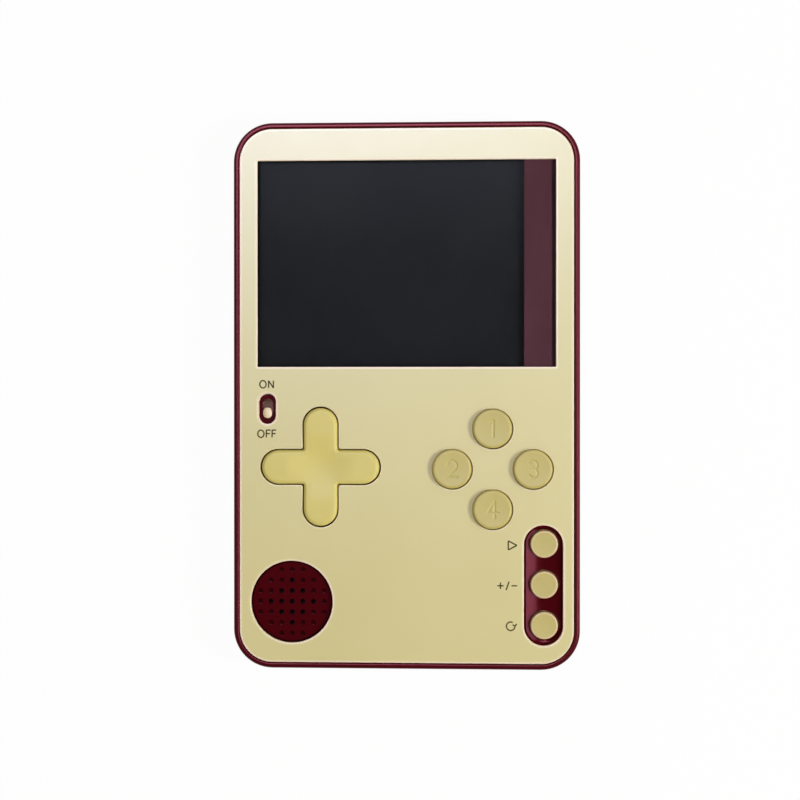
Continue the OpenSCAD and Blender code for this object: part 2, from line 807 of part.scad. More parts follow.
module front_shell() {
    collar_t = z_under - z_speaker_top + collar_h;
    color(shell_red)
        difference() {
            union() {
                round_outline()
                    front_section();
                case_core(z_under, front_wall);
                for (at = case_screws_at)
                    translate([at[0], at[1], z_boss])
                        cylinder(d = boss_d, h = z_under - z_boss + cut / 2);
                for (at = board_posts_at)
                    translate([at[0], at[1], z_board_top])
                        cylinder(d = post_d, h = z_under - z_board_top + cut / 2);
                translate([speaker_at[0], speaker_at[1], z_speaker_top - collar_h])
                    difference() {
                        cylinder(r = speaker_r + fit_gap + rib_t, h = collar_t + cut / 2);
                        translate([0, 0, -cut])
                            cylinder(r = speaker_r + fit_gap, h = collar_t + cut);
                    }
            }
            for (at = case_screws_at)
                translate([at[0], at[1], z_boss - cut])
                    cylinder(d = screw_d, h = z_under - z_boss + cut + bore_end);
            for (at = board_posts_at)
                translate([at[0], at[1], z_board_top - cut])
                    cylinder(d = screw_d, h = z_under - z_board_top + cut + bore_end);
            translate([module_x, window_y, z_under - cut])
                linear_extrude(z_pocket - z_under + cut)
                    square([module_w + 2 * pocket_gap, module_h + 2 * pocket_gap], center = true);
            translate([0, 0, z_under - cut])
                linear_extrude(front_wall + 2 * cut) {
                    screen_opening();
                    cross_opening();
                    action_openings();
                    function_openings();
                    translate(switch_at)
                        obround(knob_slot_w, knob_slot_h);
                    grille_holes(through_d);
                }
            translate([0, 0, z_shell - blind_depth])
                linear_extrude(blind_depth + cut)
                    grille_holes(grille_d - 2 * grille_margin);
            function_scoop();
            socket_cut();
        }
}

// Opening of the shell over the picture: past the window on three sides, and up
// to the dark strip on the right.
module screen_opening() {
    hidden = lens_step_w / 2;
    translate([-window_w / 2 - hidden, window_y - window_h / 2 - hidden])
        square([window_w / 2 + hidden + picture_right, window_h + 2 * hidden]);
}

// Openings of the face plate below the window.
module plate_openings() {
    cross_opening();
    action_openings();
    translate(slot_at)
        obround(slot_w, slot_h);
    translate(switch_at)
        obround(knob_slot_w + 2 * well_side, knob_slot_h + 2 * well_end);
    translate(speaker_at)
        circle(d = grille_d);
}

module face_plate_tape() {
    color(tape_white)
        translate([0, 0, z_shell])
            linear_extrude(plate_tape_t)
                difference() {
                    case_outline(rim_w + 2 * fit_gap);
                    translate([0, window_y])
                        square([window_w + lens_step_w, window_h + lens_step_w], center = true);
                    plate_openings();
                }
}

module face_plate() {
    color(plate_cream)
        translate([0, 0, z_plate])
            difference() {
                linear_extrude(plate_t)
                    difference() {
                        case_outline(rim_w);
                        translate([0, window_y])
                            square([window_w, window_h], center = true);
                        plate_openings();
                    }
                translate([0, window_y, -cut])
                    linear_extrude(lens_step_t + stack_gap + cut)
                        square(
                            [window_w, window_h] + 2 * (lens_step_w + fit_gap) * [1, 1],
                            center = true
                        );
            }
}

// Stepped window: its upper part fills the opening of the plate, its step lies under the plate.
module screen_lens() {
    color(lens_clear, 0.5)
        translate([0, window_y, z_plate]) {
            linear_extrude(lens_step_t)
                square([window_w, window_h] + 2 * lens_step_w * [1, 1], center = true);
            linear_extrude(plate_t)
                square([window_w, window_h] - 2 * fit_gap * [1, 1], center = true);
        }
}

// Outline of the upper glass: the tray's inside without the driver ledge.
module upper_glass_outline() {
    left = module_x - module_w / 2 + tray_wall + fit_gap;
    right = module_x + module_w / 2 - ledge_w;
    h = module_h - 2 * (tray_wall + fit_gap);
    translate([left, window_y - h / 2])
        square([right - left, h]);
}

module screen_gasket() {
    color(foam_black)
        translate([0, 0, z_screen_top])
            linear_extrude(screen_gasket_t)
                difference() {
                    upper_glass_outline();
                    screen_opening();
                }
}

module screen_glass() {
    w = module_w - 2 * (tray_wall + fit_gap);
    h = module_h - 2 * (tray_wall + fit_gap);
    color(glass_dark) {
        translate([module_x, window_y, z_glass])
            linear_extrude(lower_glass_t)
                square([w, h], center = true);
        translate([0, 0, z_glass])
            linear_extrude(lower_glass_t + upper_glass_t)
                upper_glass_outline();
    }
}

module screen_driver() {
    color(part_black)
        translate([module_x + module_w / 2 - ledge_w + driver_size[0], window_y, z_ledge])
            translate([-driver_size[0] / 2, -driver_size[1] / 2, 0])
                cube([driver_size[0], driver_size[1], driver_t]);
}

// Tray with a low wall round the glass, open on the right for the flex.
module screen_backlight() {
    color(tray_white)
        difference() {
            translate([module_x, window_y, z_screen])
                linear_extrude(backlight_t + lower_glass_t)
                    square([module_w, module_h], center = true);
            translate([module_x, window_y, z_glass])
                linear_extrude(lower_glass_t + cut)
                    square([module_w - 2 * tray_wall, module_h - 2 * tray_wall], center = true);
            translate([module_x + module_w / 2, window_y, z_glass + lower_glass_t])
                cube([2 * (tray_wall + fit_gap), flex_w + 2 * pocket_gap, 2 * lower_glass_t], center = true);
        }
}

// Quarter ring of the flex, about the middle of the bend.
module flex_quarter() {
    intersection() {
        difference() {
            circle(flex_bend);
            circle(flex_bend - flex_t);
        }
        square(flex_bend);
    }
}

// Flex from the ledge of the glass, round the edge of the tray, down to the board.
module screen_flex() {
    edge = module_x + module_w / 2;
    start = edge - tray_wall - flex_bond;
    bend_x = edge + fit_gap + flex_t - flex_bend;
    low = z_board_top;
    color(film_amber)
        translate([0, window_y, 0])
            rotate([90, 0, 0])
                linear_extrude(flex_w, center = true) {
                    translate([start, z_ledge])
                        square([bend_x - start, flex_t]);
                    translate([bend_x, z_ledge + flex_t - flex_bend])
                        flex_quarter();
                    translate([bend_x + flex_bend - flex_t, low + flex_bend])
                        square([flex_t, z_ledge + flex_t - 2 * flex_bend - low]);
                    translate([bend_x, low + flex_bend])
                        mirror([0, 1])
                            flex_quarter();
                    translate([bend_x - flex_foot, low])
                        square([flex_foot, flex_t]);
                }
}

// Cross with round ends and a thumb dish, on a round flange with a ball socket.
module cross_key() {
    t = z_face + cross_proud - z_cross_flange;
    dish_r = (dish_d * dish_d / 4 + dish_depth * dish_depth) / (2 * dish_depth);
    color(key_cream)
        translate([cross_at[0], cross_at[1], z_cross_flange])
            difference() {
                union() {
                    intersection() {
                        for (turn = [0, 90])
                            rotate(turn)
                                rounded_bar(cross_arm, cross_span, t, cross_round);
                        translate([0, 0, cross_flange_t / 2])
                            cylinder(r = cross_span, h = t);
                    }
                    cylinder(r = cross_flange_r, h = cross_flange_t);
                }
                translate([0, 0, t - dish_depth + dish_r])
                    sphere(dish_r);
                translate([0, 0, z_pivot - z_cross_flange])
                    sphere(pivot_r + stack_gap);
            }
}

module cross_pivot() {
    color(metal_grey)
        translate([cross_at[0], cross_at[1], z_pivot])
            sphere(pivot_r);
}

// Silicone dome on the board: a thin cone under a thick top, open below up to the given height.
module dome(base_r, top_r, t, hollow) {
    rotate_extrude()
        polygon([
            [0, hollow],
            [top_r - dome_wall, hollow],
            [base_r - dome_wall, keypad_t],
            [base_r - dome_wall, 0],
            [base_r, 0],
            [base_r, keypad_t],
            [top_r, t - dome_top_t],
            [top_r, t],
            [0, t]
        ]);
}

// Round key with a flange and a hollow top, its flange standing on z = 0.
module round_key(d, t, dish) {
    flat_r = d / 2 - key_round;
    dish_r = (flat_r * flat_r + dish * dish) / (2 * dish);
    rotate_extrude()
        difference() {
            union() {
                square([d / 2, t]);
                square([d / 2 + key_flange_w, key_flange_t]);
            }
            translate([d / 2 - key_round, t - key_round])
                outside_quarter(key_round);
            translate([0, t - dish + dish_r])
                circle(dish_r, $fn = 512);
        }
}

// Places and sizes of the domes under each group of keys.
cross_dome_r = cross_dome_d / 2;
cross_dome_t = z_cross_flange - z_board_top;
key_dome_t = z_key_flange - z_board_top;
action_dome_r = action_d / 2;
function_dome_r = function_d / 2;

// Height of a key's contact pill above the board.
function pill_rise(travel) = travel + stack_gap;

module cross_keypad() {
    color(silicone_grey)
        translate([cross_at[0], cross_at[1], z_board_top]) {
            difference() {
                cylinder(r = cross_dome_reach + cross_dome_r + keypad_margin, h = keypad_t);
                translate([0, 0, -cut])
                    cylinder(r = pivot_r + 2 * pocket_gap, h = keypad_t + 2 * cut);
                for (side = action_sides)
                    translate([cross_dome_reach * side[0], cross_dome_reach * side[1], -cut])
                        cylinder(r = cross_dome_r - dome_wall / 2, h = keypad_t + 2 * cut);
            }
            for (side = action_sides)
                translate(cross_dome_reach * side)
                    dome(cross_dome_r, cross_dome_top_d / 2, cross_dome_t, cross_dome_t - dome_top_t);
        }
}

// Four pills in the domes of the cross key, clear of the flange when it is tilted.
module cross_pills() {
    color(carbon_black)
        for (side = action_sides)
            translate([cross_at[0], cross_at[1], z_board_top + cross_dome_t - dome_top_t - pill_t])
                translate(cross_dome_reach * side)
                    cylinder(d = cross_pill_d, h = pill_t);
}

module action_key(k) {
    at = action_at + action_spread * action_sides[k];
    color(key_cream)
        translate([at[0], at[1], z_key_flange])
            round_key(action_d, z_face + action_proud - z_key_flange, action_dish);
}

module action_keypad() {
    pad_r = action_dome_r + keypad_margin;
    color(silicone_grey)
        translate([action_at[0], action_at[1], z_board_top]) {
            difference() {
                linear_extrude(keypad_t)
                    for (turn = [0, 90])
                        rotate(turn)
                            obround(2 * pad_r, 2 * (action_spread + pad_r));
                for (side = action_sides)
                    translate([action_spread * side[0], action_spread * side[1], -cut])
                        cylinder(r = action_dome_r - dome_wall / 2, h = keypad_t + 2 * cut);
            }
            for (side = action_sides)
                translate(action_spread * side)
                    dome(
                        action_dome_r, action_dome_top_d / 2, key_dome_t,
                        pill_rise(action_travel) + pill_t
                    );
        }
}

// Contact pill under the top of a dome.
module key_pill(at, d, travel) {
    color(carbon_black)
        translate([at[0], at[1], z_board_top + pill_rise(travel)])
            cylinder(d = d, h = pill_t);
}

module action_pill(k) {
    key_pill(action_at + action_spread * action_sides[k], action_pill_d, action_travel);
}

module function_key(k) {
    color(key_cream)
        translate([function_at[0], function_at[1] + k * function_pitch, z_key_flange])
            round_key(function_d, z_face + function_proud - z_key_flange, function_dish);
}

module function_keypad() {
    pad_r = function_dome_r + keypad_margin;
    color(silicone_grey)
        translate([function_at[0], function_at[1], z_board_top]) {
            difference() {
                linear_extrude(keypad_t)
                    obround(2 * pad_r, 2 * (function_pitch + pad_r));
                for (k = [-1:1])
                    translate([0, k * function_pitch, -cut])
                        cylinder(r = function_dome_r - dome_wall / 2, h = keypad_t + 2 * cut);
            }
            for (k = [-1:1])
                translate([0, k * function_pitch, 0])
                    dome(
                        function_dome_r, function_dome_top_d / 2, key_dome_t,
                        pill_rise(function_travel) + pill_t
                    );
        }
}

module function_pill(k) {
    key_pill(function_at + [0, k * function_pitch], function_pill_d, function_travel);
}

// Inside of the switch: the slider is wider than the knob, and runs its travel.
slider_w = can_w - 2 * can_sheet - 2 * fit_gap;
slider_h = knob_d + 2 * slider_end;
can_l = slider_h + switch_travel + 2 * can_sheet + 2 * fit_gap;

module switch_base() {
    color(part_black)
        translate([switch_at[0], switch_at[1], z_board_top])
            linear_extrude(switch_base_t)
                square([can_w - 2 * can_sheet - fit_gap, can_l - 2 * can_sheet - fit_gap], center = true);
}

module switch_can() {
    color(metal_grey)
        translate([switch_at[0], switch_at[1], z_board_top])
            difference() {
                linear_extrude(can_h)
                    square([can_w, can_l], center = true);
                translate([0, 0, -cut])
                    linear_extrude(can_h - can_sheet + cut)
                        square([can_w - 2 * can_sheet, can_l - 2 * can_sheet], center = true);
                linear_extrude(can_h + cut)
                    obround(knob_slot_w, knob_slot_h);
            }
}

// Knob with a domed top on the slider that runs inside the can.
module switch_knob() {
    slider_z = z_board_top + switch_base_t + stack_gap;
    slider_t = can_h - can_sheet - switch_base_t - 2 * stack_gap;
    top = z_face - knob_sink;
    dome_r = (knob_d * knob_d / 4 + knob_dome * knob_dome) / (2 * knob_dome);
    color(key_cream)
        translate([switch_at[0], knob_y, 0]) {
            translate([0, 0, slider_z])
                linear_extrude(slider_t)
                    square([slider_w, slider_h], center = true);
            intersection() {
                translate([0, 0, slider_z])
                    cylinder(d = knob_d, h = top - slider_z);
                translate([0, 0, top - dome_r])
                    sphere(dome_r, $fn = 128);
            }
            translate([0, 0, slider_z])
                cylinder(d = knob_d, h = z_under - slider_z);
        }
}

module circuit_board() {
    corner = case_screws_at[2];
    color(board_green)
        translate([0, 0, z_board])
            linear_extrude(board_t)
                difference() {
                    intersection() {
                        polygon([
                            [-half_w, speaker_cut_y],
                            [speaker_cut_x, speaker_cut_y],
                            [speaker_cut_x, -half_h],
                            [half_w, -half_h],
                            [half_w, board_arm_top],
                            [board_arm_x, board_arm_top],
                            [board_arm_x, board_top],
                            [-half_w, board_top]
                        ]);
                        case_outline(board_inset);
                    }
                    translate(corner)
                        circle(d = rear_boss_d + 2 * pocket_gap);
                    for (at = board_posts_at)
                        translate(at)
                            circle(d = screw_d + 2 * fit_gap);
                }
}

module board_screws() {
    color(metal_grey)
        for (at = board_posts_at)
            translate([at[0], at[1], z_board])
                screw(z_under - z_board);
}

// Drop of epoxy over the bonded processor.
module processor_blob() {
    r = (blob_d * blob_d / 4 + part_h * part_h) / (2 * part_h);
    color(part_black)
        translate([blob_at[0], blob_at[1], z_board])
            intersection() {
                translate([0, 0, r - part_h])
                    sphere(r, $fn = 256);
                translate([0, 0, -part_h])
                    cylinder(d = blob_d + cut, h = part_h);
            }
}

// Flat part under the board.
module board_part(at, size, t) {
    translate([at[0], at[1], z_board - t])
        linear_extrude(t)
            square(size, center = true);
}

// Chip with four legs on each side.
module memory_chip() {
    legs = 4;
    color(part_black) {
        board_part(memory_at, memory_size, part_h);
        for (k = [0:legs - 1])
            board_part(
                memory_at + [0, (k - (legs - 1) / 2) * leg_pitch],
                [memory_size[0] + 2 * leg_l, leg_w],
                leg_t
            );
    }
}

module crystal() {
    color(metal_grey) {
        board_part(crystal_at, crystal_size, crystal_flange_t);
        board_part(crystal_at, crystal_size - 2 * crystal_flange * [1, 1], part_h);
    }
}

module charger_chip() {
    color(part_black) {
        board_part(charger_at, charger_size, part_h);
        for (k = [-1:1])
            board_part(charger_at + [0, k * charger_pitch], [charger_size[0] + 2 * leg_l, leg_w], leg_t);
    }
}

module board_passives() {
    color(film_amber)
        for (at = passives_at)
            board_part(at, passive_size, part_h);
}

// Mouth of the charging socket: a rectangle with its two lower corners cut.
module socket_outline(inset) {
    w = socket_w / 2 - inset;
    low = inset;
    high = socket_t - inset;
    polygon([
        [-w, high],
        [-w, low + socket_bevel],
        [-w + socket_bevel, low],
        [w - socket_bevel, low],
        [w, low + socket_bevel],
        [w, high]
    ]);
}

// Stands a section up at the mouth of the socket and runs it into the case.
module into_case(from, l) {
    translate([0, socket_sink + from - half_h, z_board_top])
        rotate([90, 0, 180])
            linear_extrude(l)
                children();
}

module socket_shell() {
    color(metal_grey)
        difference() {
            into_case(0, socket_l)
                socket_outline(0);
            into_case(-cut, socket_l - socket_sheet + cut)
                socket_outline(socket_sheet);
        }
}

// Insulating block at the end of the socket, with the contact blade.
module socket_tongue() {
    end = socket_l - socket_sheet - stack_gap;
    color(part_black) {
        into_case(end - block_l, block_l)
            socket_outline(socket_sheet + stack_gap);
        into_case(blade_sink, end - blade_sink)
            translate([-blade_w / 2, socket_t / 2])
                square([blade_w, blade_t]);
    }
}

// Pouch with a thin seam at its lower edge.
module battery_cell() {
    color(cell_silver)
        translate([cell_at[0], cell_at[1], z_cell]) {
            translate([0, seam_w / 2, 0])
                linear_extrude(cell_t)
                    round_rect(cell_w, cell_h - seam_w, cell_r);
            translate([0, 0, (cell_t - seam_t) / 2])
                linear_extrude(seam_t)
                    square([cell_w - 2 * cell_r, cell_h], center = true);
        }
}

module battery_tape() {
    color(tape_white)
        translate([cell_at[0], cell_at[1], rear_wall])
            linear_extrude(cell_tape_t)
                square(cell_tape_size, center = true);
}

// Small board that guards the cell, on the seam at its lower edge.
module battery_guard() {
    color(board_green)
        translate([cell_at[0], cell_at[1] - (cell_h - seam_w) / 2, z_cell + (cell_t + seam_t) / 2])
            linear_extrude(guard_t)
                square([guard_l, seam_w - 2 * stack_gap], center = true);
}

function unit(v) = v / norm(v);
function heading(path, i) = unit(path[min(i + 1, len(path) - 1)] - path[max(i - 1, 0)]);

// Round lead along points that lie in one plane, square to the given side.
module lead(path, side) {
    last = len(path) - 1;
    rings = [
        for (i = [0:last])
            let (up = cross(side, heading(path, i)))
                for (k = [0:lead_sides - 1])
                    let (turn = 360 * k / lead_sides)
                        path[i] + lead_d / 2 * (cos(turn) * side + sin(turn) * up)
    ];
    walls = [
        for (i = [0:last - 1], k = [0:lead_sides - 1])
            let (a = i * lead_sides + k, b = i * lead_sides + (k + 1) % lead_sides)
                each [[a, a + lead_sides, b], [b, a + lead_sides, b + lead_sides]]
    ];
    near = [for (k = [0:lead_sides - 1]) k];
    far = [for (k = [lead_sides - 1:-1:0]) last * lead_sides + k];
    polyhedron(rings, concat(walls, [near, far]));
}

module battery_leads() {
    color(wire_red)
        for (x = battery_lead_x)
            lead(battery_lead(x), [1, 0, 0]);
}

// Straight leads from the speaker's terminal tab to their pads on the board.
module speaker_leads() {
    color(wire_red)
        for (k = [-1, 1])
            translate([
                speaker_at[0] + speaker_r + terminal_l + stack_gap,
                speaker_at[1] + k * lead_pitch / 2,
                lead_z
            ])
                rotate([0, 90, 0])
                    cylinder(d = lead_d, h = lead_land);
}

// Heights inside the speaker, from its back
z_lip = speaker_t - lip_t;
z_coil = z_lip - cone_drop;
magnet_r = magnet_d / 2;
coil_r = coil_d / 2;

// Pressed basket with a lip, and the tab that carries the leads.
module speaker_basket() {
    back_r = basket_d / 2;
    color(metal_grey)
        translate([speaker_at[0], speaker_at[1], z_speaker]) {
            rotate_extrude()
                polygon([
                    [magnet_r + stack_gap, 0],
                    [back_r, 0],
                    [speaker_r - lip_w + basket_t, z_lip],
                    [speaker_r, z_lip],
                    [speaker_r, speaker_t],
                    [speaker_r - lip_w, speaker_t],
                    [speaker_r - lip_w, z_lip],
                    [back_r - basket_t, basket_t],
                    [magnet_r + stack_gap, basket_t]
                ]);
            translate([back_r, -lead_pitch, lead_z - z_speaker - terminal_t / 2])
                cube([speaker_r + terminal_l - back_r, 2 * lead_pitch, terminal_t]);
        }
}

// Cup with a centre pole, which leave a ring gap for the coil.
module speaker_magnet() {
    color(metal_grey)
        translate([speaker_at[0], speaker_at[1], z_speaker])
            rotate_extrude()
                polygon([
                    [0, 0],
                    [magnet_r, 0],
                    [magnet_r, magnet_h],
                    [coil_r + coil_t + fit_gap, magnet_h],
                    [coil_r + coil_t + fit_gap, basket_t],
                    [coil_r - fit_gap, basket_t],
                    [coil_r - fit_gap, magnet_h],
                    [0, magnet_h]
                ]);
}

// Cone of thin film: flat edge inside the basket's lip, a slope to the coil and a domed middle.
module speaker_cone() {
    edge_r = speaker_r - lip_w - fit_gap;
    flat_r = (edge_r + coil_r) / 2;
    color(foam_black)
        translate([speaker_at[0], speaker_at[1], z_speaker])
            rotate_extrude()
                polygon([
                    [0, z_coil + cone_rise],
                    [coil_r, z_coil],
                    [coil_r + coil_t, z_coil],
                    [flat_r, z_lip],
                    [edge_r, z_lip],
                    [edge_r, z_lip + cone_t],
                    [flat_r, z_lip + cone_t],
                    [coil_r + coil_t, z_coil + cone_t],
                    [coil_r, z_coil + cone_t],
                    [0, z_coil + cone_rise + cone_t]
                ]);
}

// Voice coil: it hangs from the cone into the ring gap of the magnet.
module speaker_coil() {
    foot = basket_t + pocket_gap;
    color(coil_copper)
        translate([speaker_at[0], speaker_at[1], z_speaker + foot])
            difference() {
                cylinder(r = coil_r + coil_t, h = z_coil - foot);
                translate([0, 0, -cut])
                    cylinder(r = coil_r, h = z_coil + cut);
            }
}

module speaker_gasket() {
    color(foam_black)
        translate([speaker_at[0], speaker_at[1], z_speaker_top])
            difference() {
                cylinder(r = speaker_r, h = speaker_gasket_t);
                translate([0, 0, -cut])
                    cylinder(r = speaker_r - lip_w, h = speaker_gasket_t + 2 * cut);
            }
}

module speaker_cloth() {
    color(carbon_black)
        translate([speaker_at[0], speaker_at[1], z_under - cloth_t])
            cylinder(r = speaker_r, h = cloth_t);
}

rear_shell();
case_screws();
front_shell();
face_plate_tape();
face_plate();
screen_lens();
screen_gasket();
screen_glass();
screen_driver();
screen_backlight();
screen_flex();
cross_key();
cross_pivot();
cross_keypad();
cross_pills();
action_key(0);  // action_key_top
action_key(1);  // action_key_left
action_key(2);  // action_key_right
action_key(3);  // action_key_bottom
action_keypad();
action_pill(0);  // action_pill_top
action_pill(1);  // action_pill_left
action_pill(2);  // action_pill_right
action_pill(3);  // action_pill_bottom
function_key(1);  // function_key_top
function_key(0);  // function_key_middle
function_key(-1);  // function_key_bottom
function_keypad();
function_pill(1);  // function_pill_top
function_pill(0);  // function_pill_middle
function_pill(-1);  // function_pill_bottom
switch_base();
switch_can();
switch_knob();
circuit_board();
board_screws();
processor_blob();
memory_chip();
crystal();
charger_chip();
board_passives();
socket_shell();
socket_tongue();
battery_cell();
battery_tape();
battery_guard();
battery_leads();
speaker_basket();
speaker_magnet();
speaker_coil();
speaker_cone();
speaker_gasket();
speaker_cloth();
speaker_leads();
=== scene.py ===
import bpy
import numpy as np
from mathutils import Matrix, Vector
from mathutils.geometry import tessellate_polygon


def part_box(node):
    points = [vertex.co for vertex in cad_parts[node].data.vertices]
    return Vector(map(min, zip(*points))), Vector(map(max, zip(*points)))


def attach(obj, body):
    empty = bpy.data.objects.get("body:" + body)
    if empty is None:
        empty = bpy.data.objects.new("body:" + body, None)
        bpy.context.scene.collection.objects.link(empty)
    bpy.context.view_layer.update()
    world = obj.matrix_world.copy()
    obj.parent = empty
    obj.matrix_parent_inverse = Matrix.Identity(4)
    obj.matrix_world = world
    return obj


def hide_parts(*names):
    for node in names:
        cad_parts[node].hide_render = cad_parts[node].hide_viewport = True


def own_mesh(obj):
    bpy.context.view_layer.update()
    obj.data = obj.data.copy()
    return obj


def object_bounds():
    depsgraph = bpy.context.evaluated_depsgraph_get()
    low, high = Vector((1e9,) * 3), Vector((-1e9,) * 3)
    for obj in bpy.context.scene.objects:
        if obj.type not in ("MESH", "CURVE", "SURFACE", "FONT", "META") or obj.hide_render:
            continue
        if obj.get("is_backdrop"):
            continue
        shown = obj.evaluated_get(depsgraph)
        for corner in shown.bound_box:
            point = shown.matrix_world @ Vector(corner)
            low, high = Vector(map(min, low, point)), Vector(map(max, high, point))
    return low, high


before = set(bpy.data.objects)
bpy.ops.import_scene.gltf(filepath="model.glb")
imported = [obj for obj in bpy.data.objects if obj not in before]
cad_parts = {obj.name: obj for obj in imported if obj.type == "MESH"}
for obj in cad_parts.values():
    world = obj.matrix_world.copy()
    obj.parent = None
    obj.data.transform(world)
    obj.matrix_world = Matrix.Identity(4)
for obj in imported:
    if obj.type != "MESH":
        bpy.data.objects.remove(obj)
cad_low, cad_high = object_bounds()


# Rear shell
# The tub that the whole console is built into: dark red ABS, injection moulded in a tool whose
# walls were spark eroded, so the back feels dry while the front stays glossy.
MM = 0.001


def linear(code):
    """An sRGB hex colour as linear RGBA: each channel is divided by 12.92 near black, and otherwise
    moved by 0.055, divided by 1.055 and raised to 2.4."""
    srgb = np.array([int(code[i:i + 2], 16) for i in (1, 3, 5)]) / 255
    curved = ((srgb + 0.055) / 1.055) ** 2.4
    return (*np.where(srgb <= 0.04045, srgb / 12.92, curved), 1.0)


def add(tree, kind, inputs=(), **settings):
    """Adds one node with its settings, and sets or links each of its inputs."""
    made = tree.nodes.new("ShaderNode" + kind)
    for name, value in settings.items():
        setattr(made, name, value)
    for name, value in dict(inputs).items():
        if isinstance(value, bpy.types.NodeSocket):
            tree.links.new(value, made.inputs[name])
        else:
            made.inputs[name].default_value = value
    return made


def surface(
    name, shades, patch, roughness, grain, relief,
    stretch=(1, 1, 1), pattern=None, edge=None, dulled=None, **shader,
):
    """One substance: clouds of the patch size mix two shades, and a grain of its own size moves the
    roughness between two values and stands up as relief. Sizes are in millimetres, stretch packs the
    grain closer along an axis, pattern builds another height than noise, edge is the shade of a painted
    highlight, laid where the mesh's attribute of that name is 1, dulled builds a mask of where the
    polish is gone and gives the roughness that this adds, and shader sets further sockets, with _ for a
    space."""
    material = bpy.data.materials.new(name)
    material.use_nodes = True
    tree = material.node_tree
    tree.nodes.clear()
    place = add(tree, "TexCoord").outputs["Object"]
    clouds = add(tree, "TexNoise", {"Vector": place, "Scale": 1 / (patch * MM), "Detail": 3})
    shade = add(tree, "MapRange", {"Value": clouds.outputs[0], "From Min": 0.3, "From Max": 0.7})
    mix = {0: shade.outputs[0], 6: linear(shades[0]), 7: linear(shades[1])}
    colour = add(tree, "Mix", mix, data_type="RGBA").outputs[2]
    if edge is not None:
        rim = add(tree, "Attribute", attribute_name="edge").outputs["Fac"]
        colour = add(tree, "Mix", {0: rim, 6: colour, 7: linear(edge)}, data_type="RGBA").outputs[2]
    packed = add(tree, "Mapping", {"Vector": place, "Scale": stretch}).outputs[0]
    if pattern is None:
        specks = {"Vector": packed, "Scale": 1 / (grain * MM), "Detail": 2}
        height = add(tree, "TexNoise", specks).outputs[0]
    else:
        height = pattern(tree, packed, grain * MM)
    gloss = {"Value": height, "To Min": roughness[0], "To Max": roughness[1]}
    rough = add(tree, "MapRange", gloss).outputs[0]
    if dulled is not None:
        mask, extra = dulled
        worn = {0: mask(tree, place), 1: extra, 2: rough}
        rough = add(tree, "Math", worn, operation="MULTIPLY_ADD").outputs[0]
    bump = add(tree, "Bump", {"Height": height, "Distance": relief * MM})
    sockets = {socket.replace("_", " "): value for socket, value in shader.items()}
    skin = add(tree, "BsdfPrincipled", {
        "Base Color": colour, "Roughness": rough, "Normal": bump.outputs[0], **sockets,
    })
    add(tree, "OutputMaterial", {"Surface": skin.outputs[0]})
    return material


def dress(material, *nodes):
    """Gives solids of the frame a material."""
    for node in nodes:
        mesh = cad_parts[node].data
        mesh.materials.clear()
        mesh.materials.append(material)


# Spark-eroded ABS: a fine even dimpling that breaks the gloss into a soft sheen.
eroded_abs = surface(
    "spark_eroded_abs_red", ("#4a030d", "#510712"), patch=14, roughness=(0.38, 0.52), grain=0.32,
    relief=0.02, IOR=1.53, Specular_IOR_Level=0.3, Specular_Tint=linear("#ffa8b4"),
)
dress(eroded_abs, "rear_shell")


# Battery
# A lithium pouch cell of laminated foil, stuck to the back wall with tape. A narrow guard board
# lies on its sealed seam, and two sleeved leads run to the circuit board.
cell_foil = surface(
    "laminated_foil", ("#a4a8ac", "#b4b7ba"), patch=9, roughness=(0.28, 0.42), grain=1.6, relief=0.03,
    Metallic=1.0,
)
paper_tape = surface(
    "paper_tape", ("#e9e6da", "#f2efe6"), patch=5, roughness=(0.7, 0.85), grain=0.25, relief=0.01,
)
lead_sleeve = surface(
    "sleeve_vinyl_red", ("#9c1c1c", "#ad2523"), patch=2, roughness=(0.35, 0.45),
    grain=0.3, relief=0.005,
)
dress(cell_foil, "battery_cell")
dress(paper_tape, "battery_tape", "face_plate_tape")
dress(lead_sleeve, "battery_leads", "speaker_leads")


# Circuit board
# Glass-fibre laminate under green solder mask, screwed to posts of the front shell. Copper tracks
# lift the mask a little; the processor sits under a drop of black epoxy.
def tracks(tree, vector, pitch):
    """Parallel tracks that wander: bands of one pitch, bent by a slow noise."""
    bands = {
        "Vector": vector, "Scale": wave_step / pitch, "Distortion": 6, "Detail": 1, "Detail Scale": 0.4,
    }
    return add(tree, "TexWave", bands, bands_direction="DIAGONAL").outputs["Fac"]


# At a scale of 1, a wave texture has a band every 0.31 units.
wave_step = 0.31
masked_laminate = surface(
    "solder_masked_laminate", ("#174a2c", "#226239"), patch=3, roughness=(0.28, 0.4),
    grain=0.9, relief=0.03,
    pattern=tracks,
)
black_resin = surface(
    "moulded_epoxy_black", ("#1c1d1f", "#26272a"), patch=2, roughness=(0.42, 0.6),
    grain=0.18, relief=0.008,
)
fired_ceramic = surface(
    "fired_ceramic", ("#9c7448", "#ad855a"), patch=1, roughness=(0.4, 0.55), grain=0.15, relief=0.005,
)
dress(masked_laminate, "circuit_board", "battery_guard")
dress(black_resin, "processor_blob", "memory_chip", "charger_chip")
dress(black_resin, "screen_driver", "switch_base", "socket_tongue")
dress(fired_ceramic, "board_passives")


# Charging socket, cans and screws
# Thin steel, folded for the socket and the cans and cold headed for the screws, then nickel plated.
# Drawing leaves faint lines along X.
plated_steel = surface(
    "nickel_plated_steel", ("#a9abab", "#bcbdbc"), patch=2.5, roughness=(0.2, 0.36),
    grain=0.5, relief=0.004,
    stretch=(0.25, 3, 3), Metallic=1.0,
)
dress(plated_steel, "socket_shell", "switch_can", "crystal", "case_screws", "board_screws")
dress(plated_steel, "cross_pivot", "speaker_basket", "speaker_magnet")


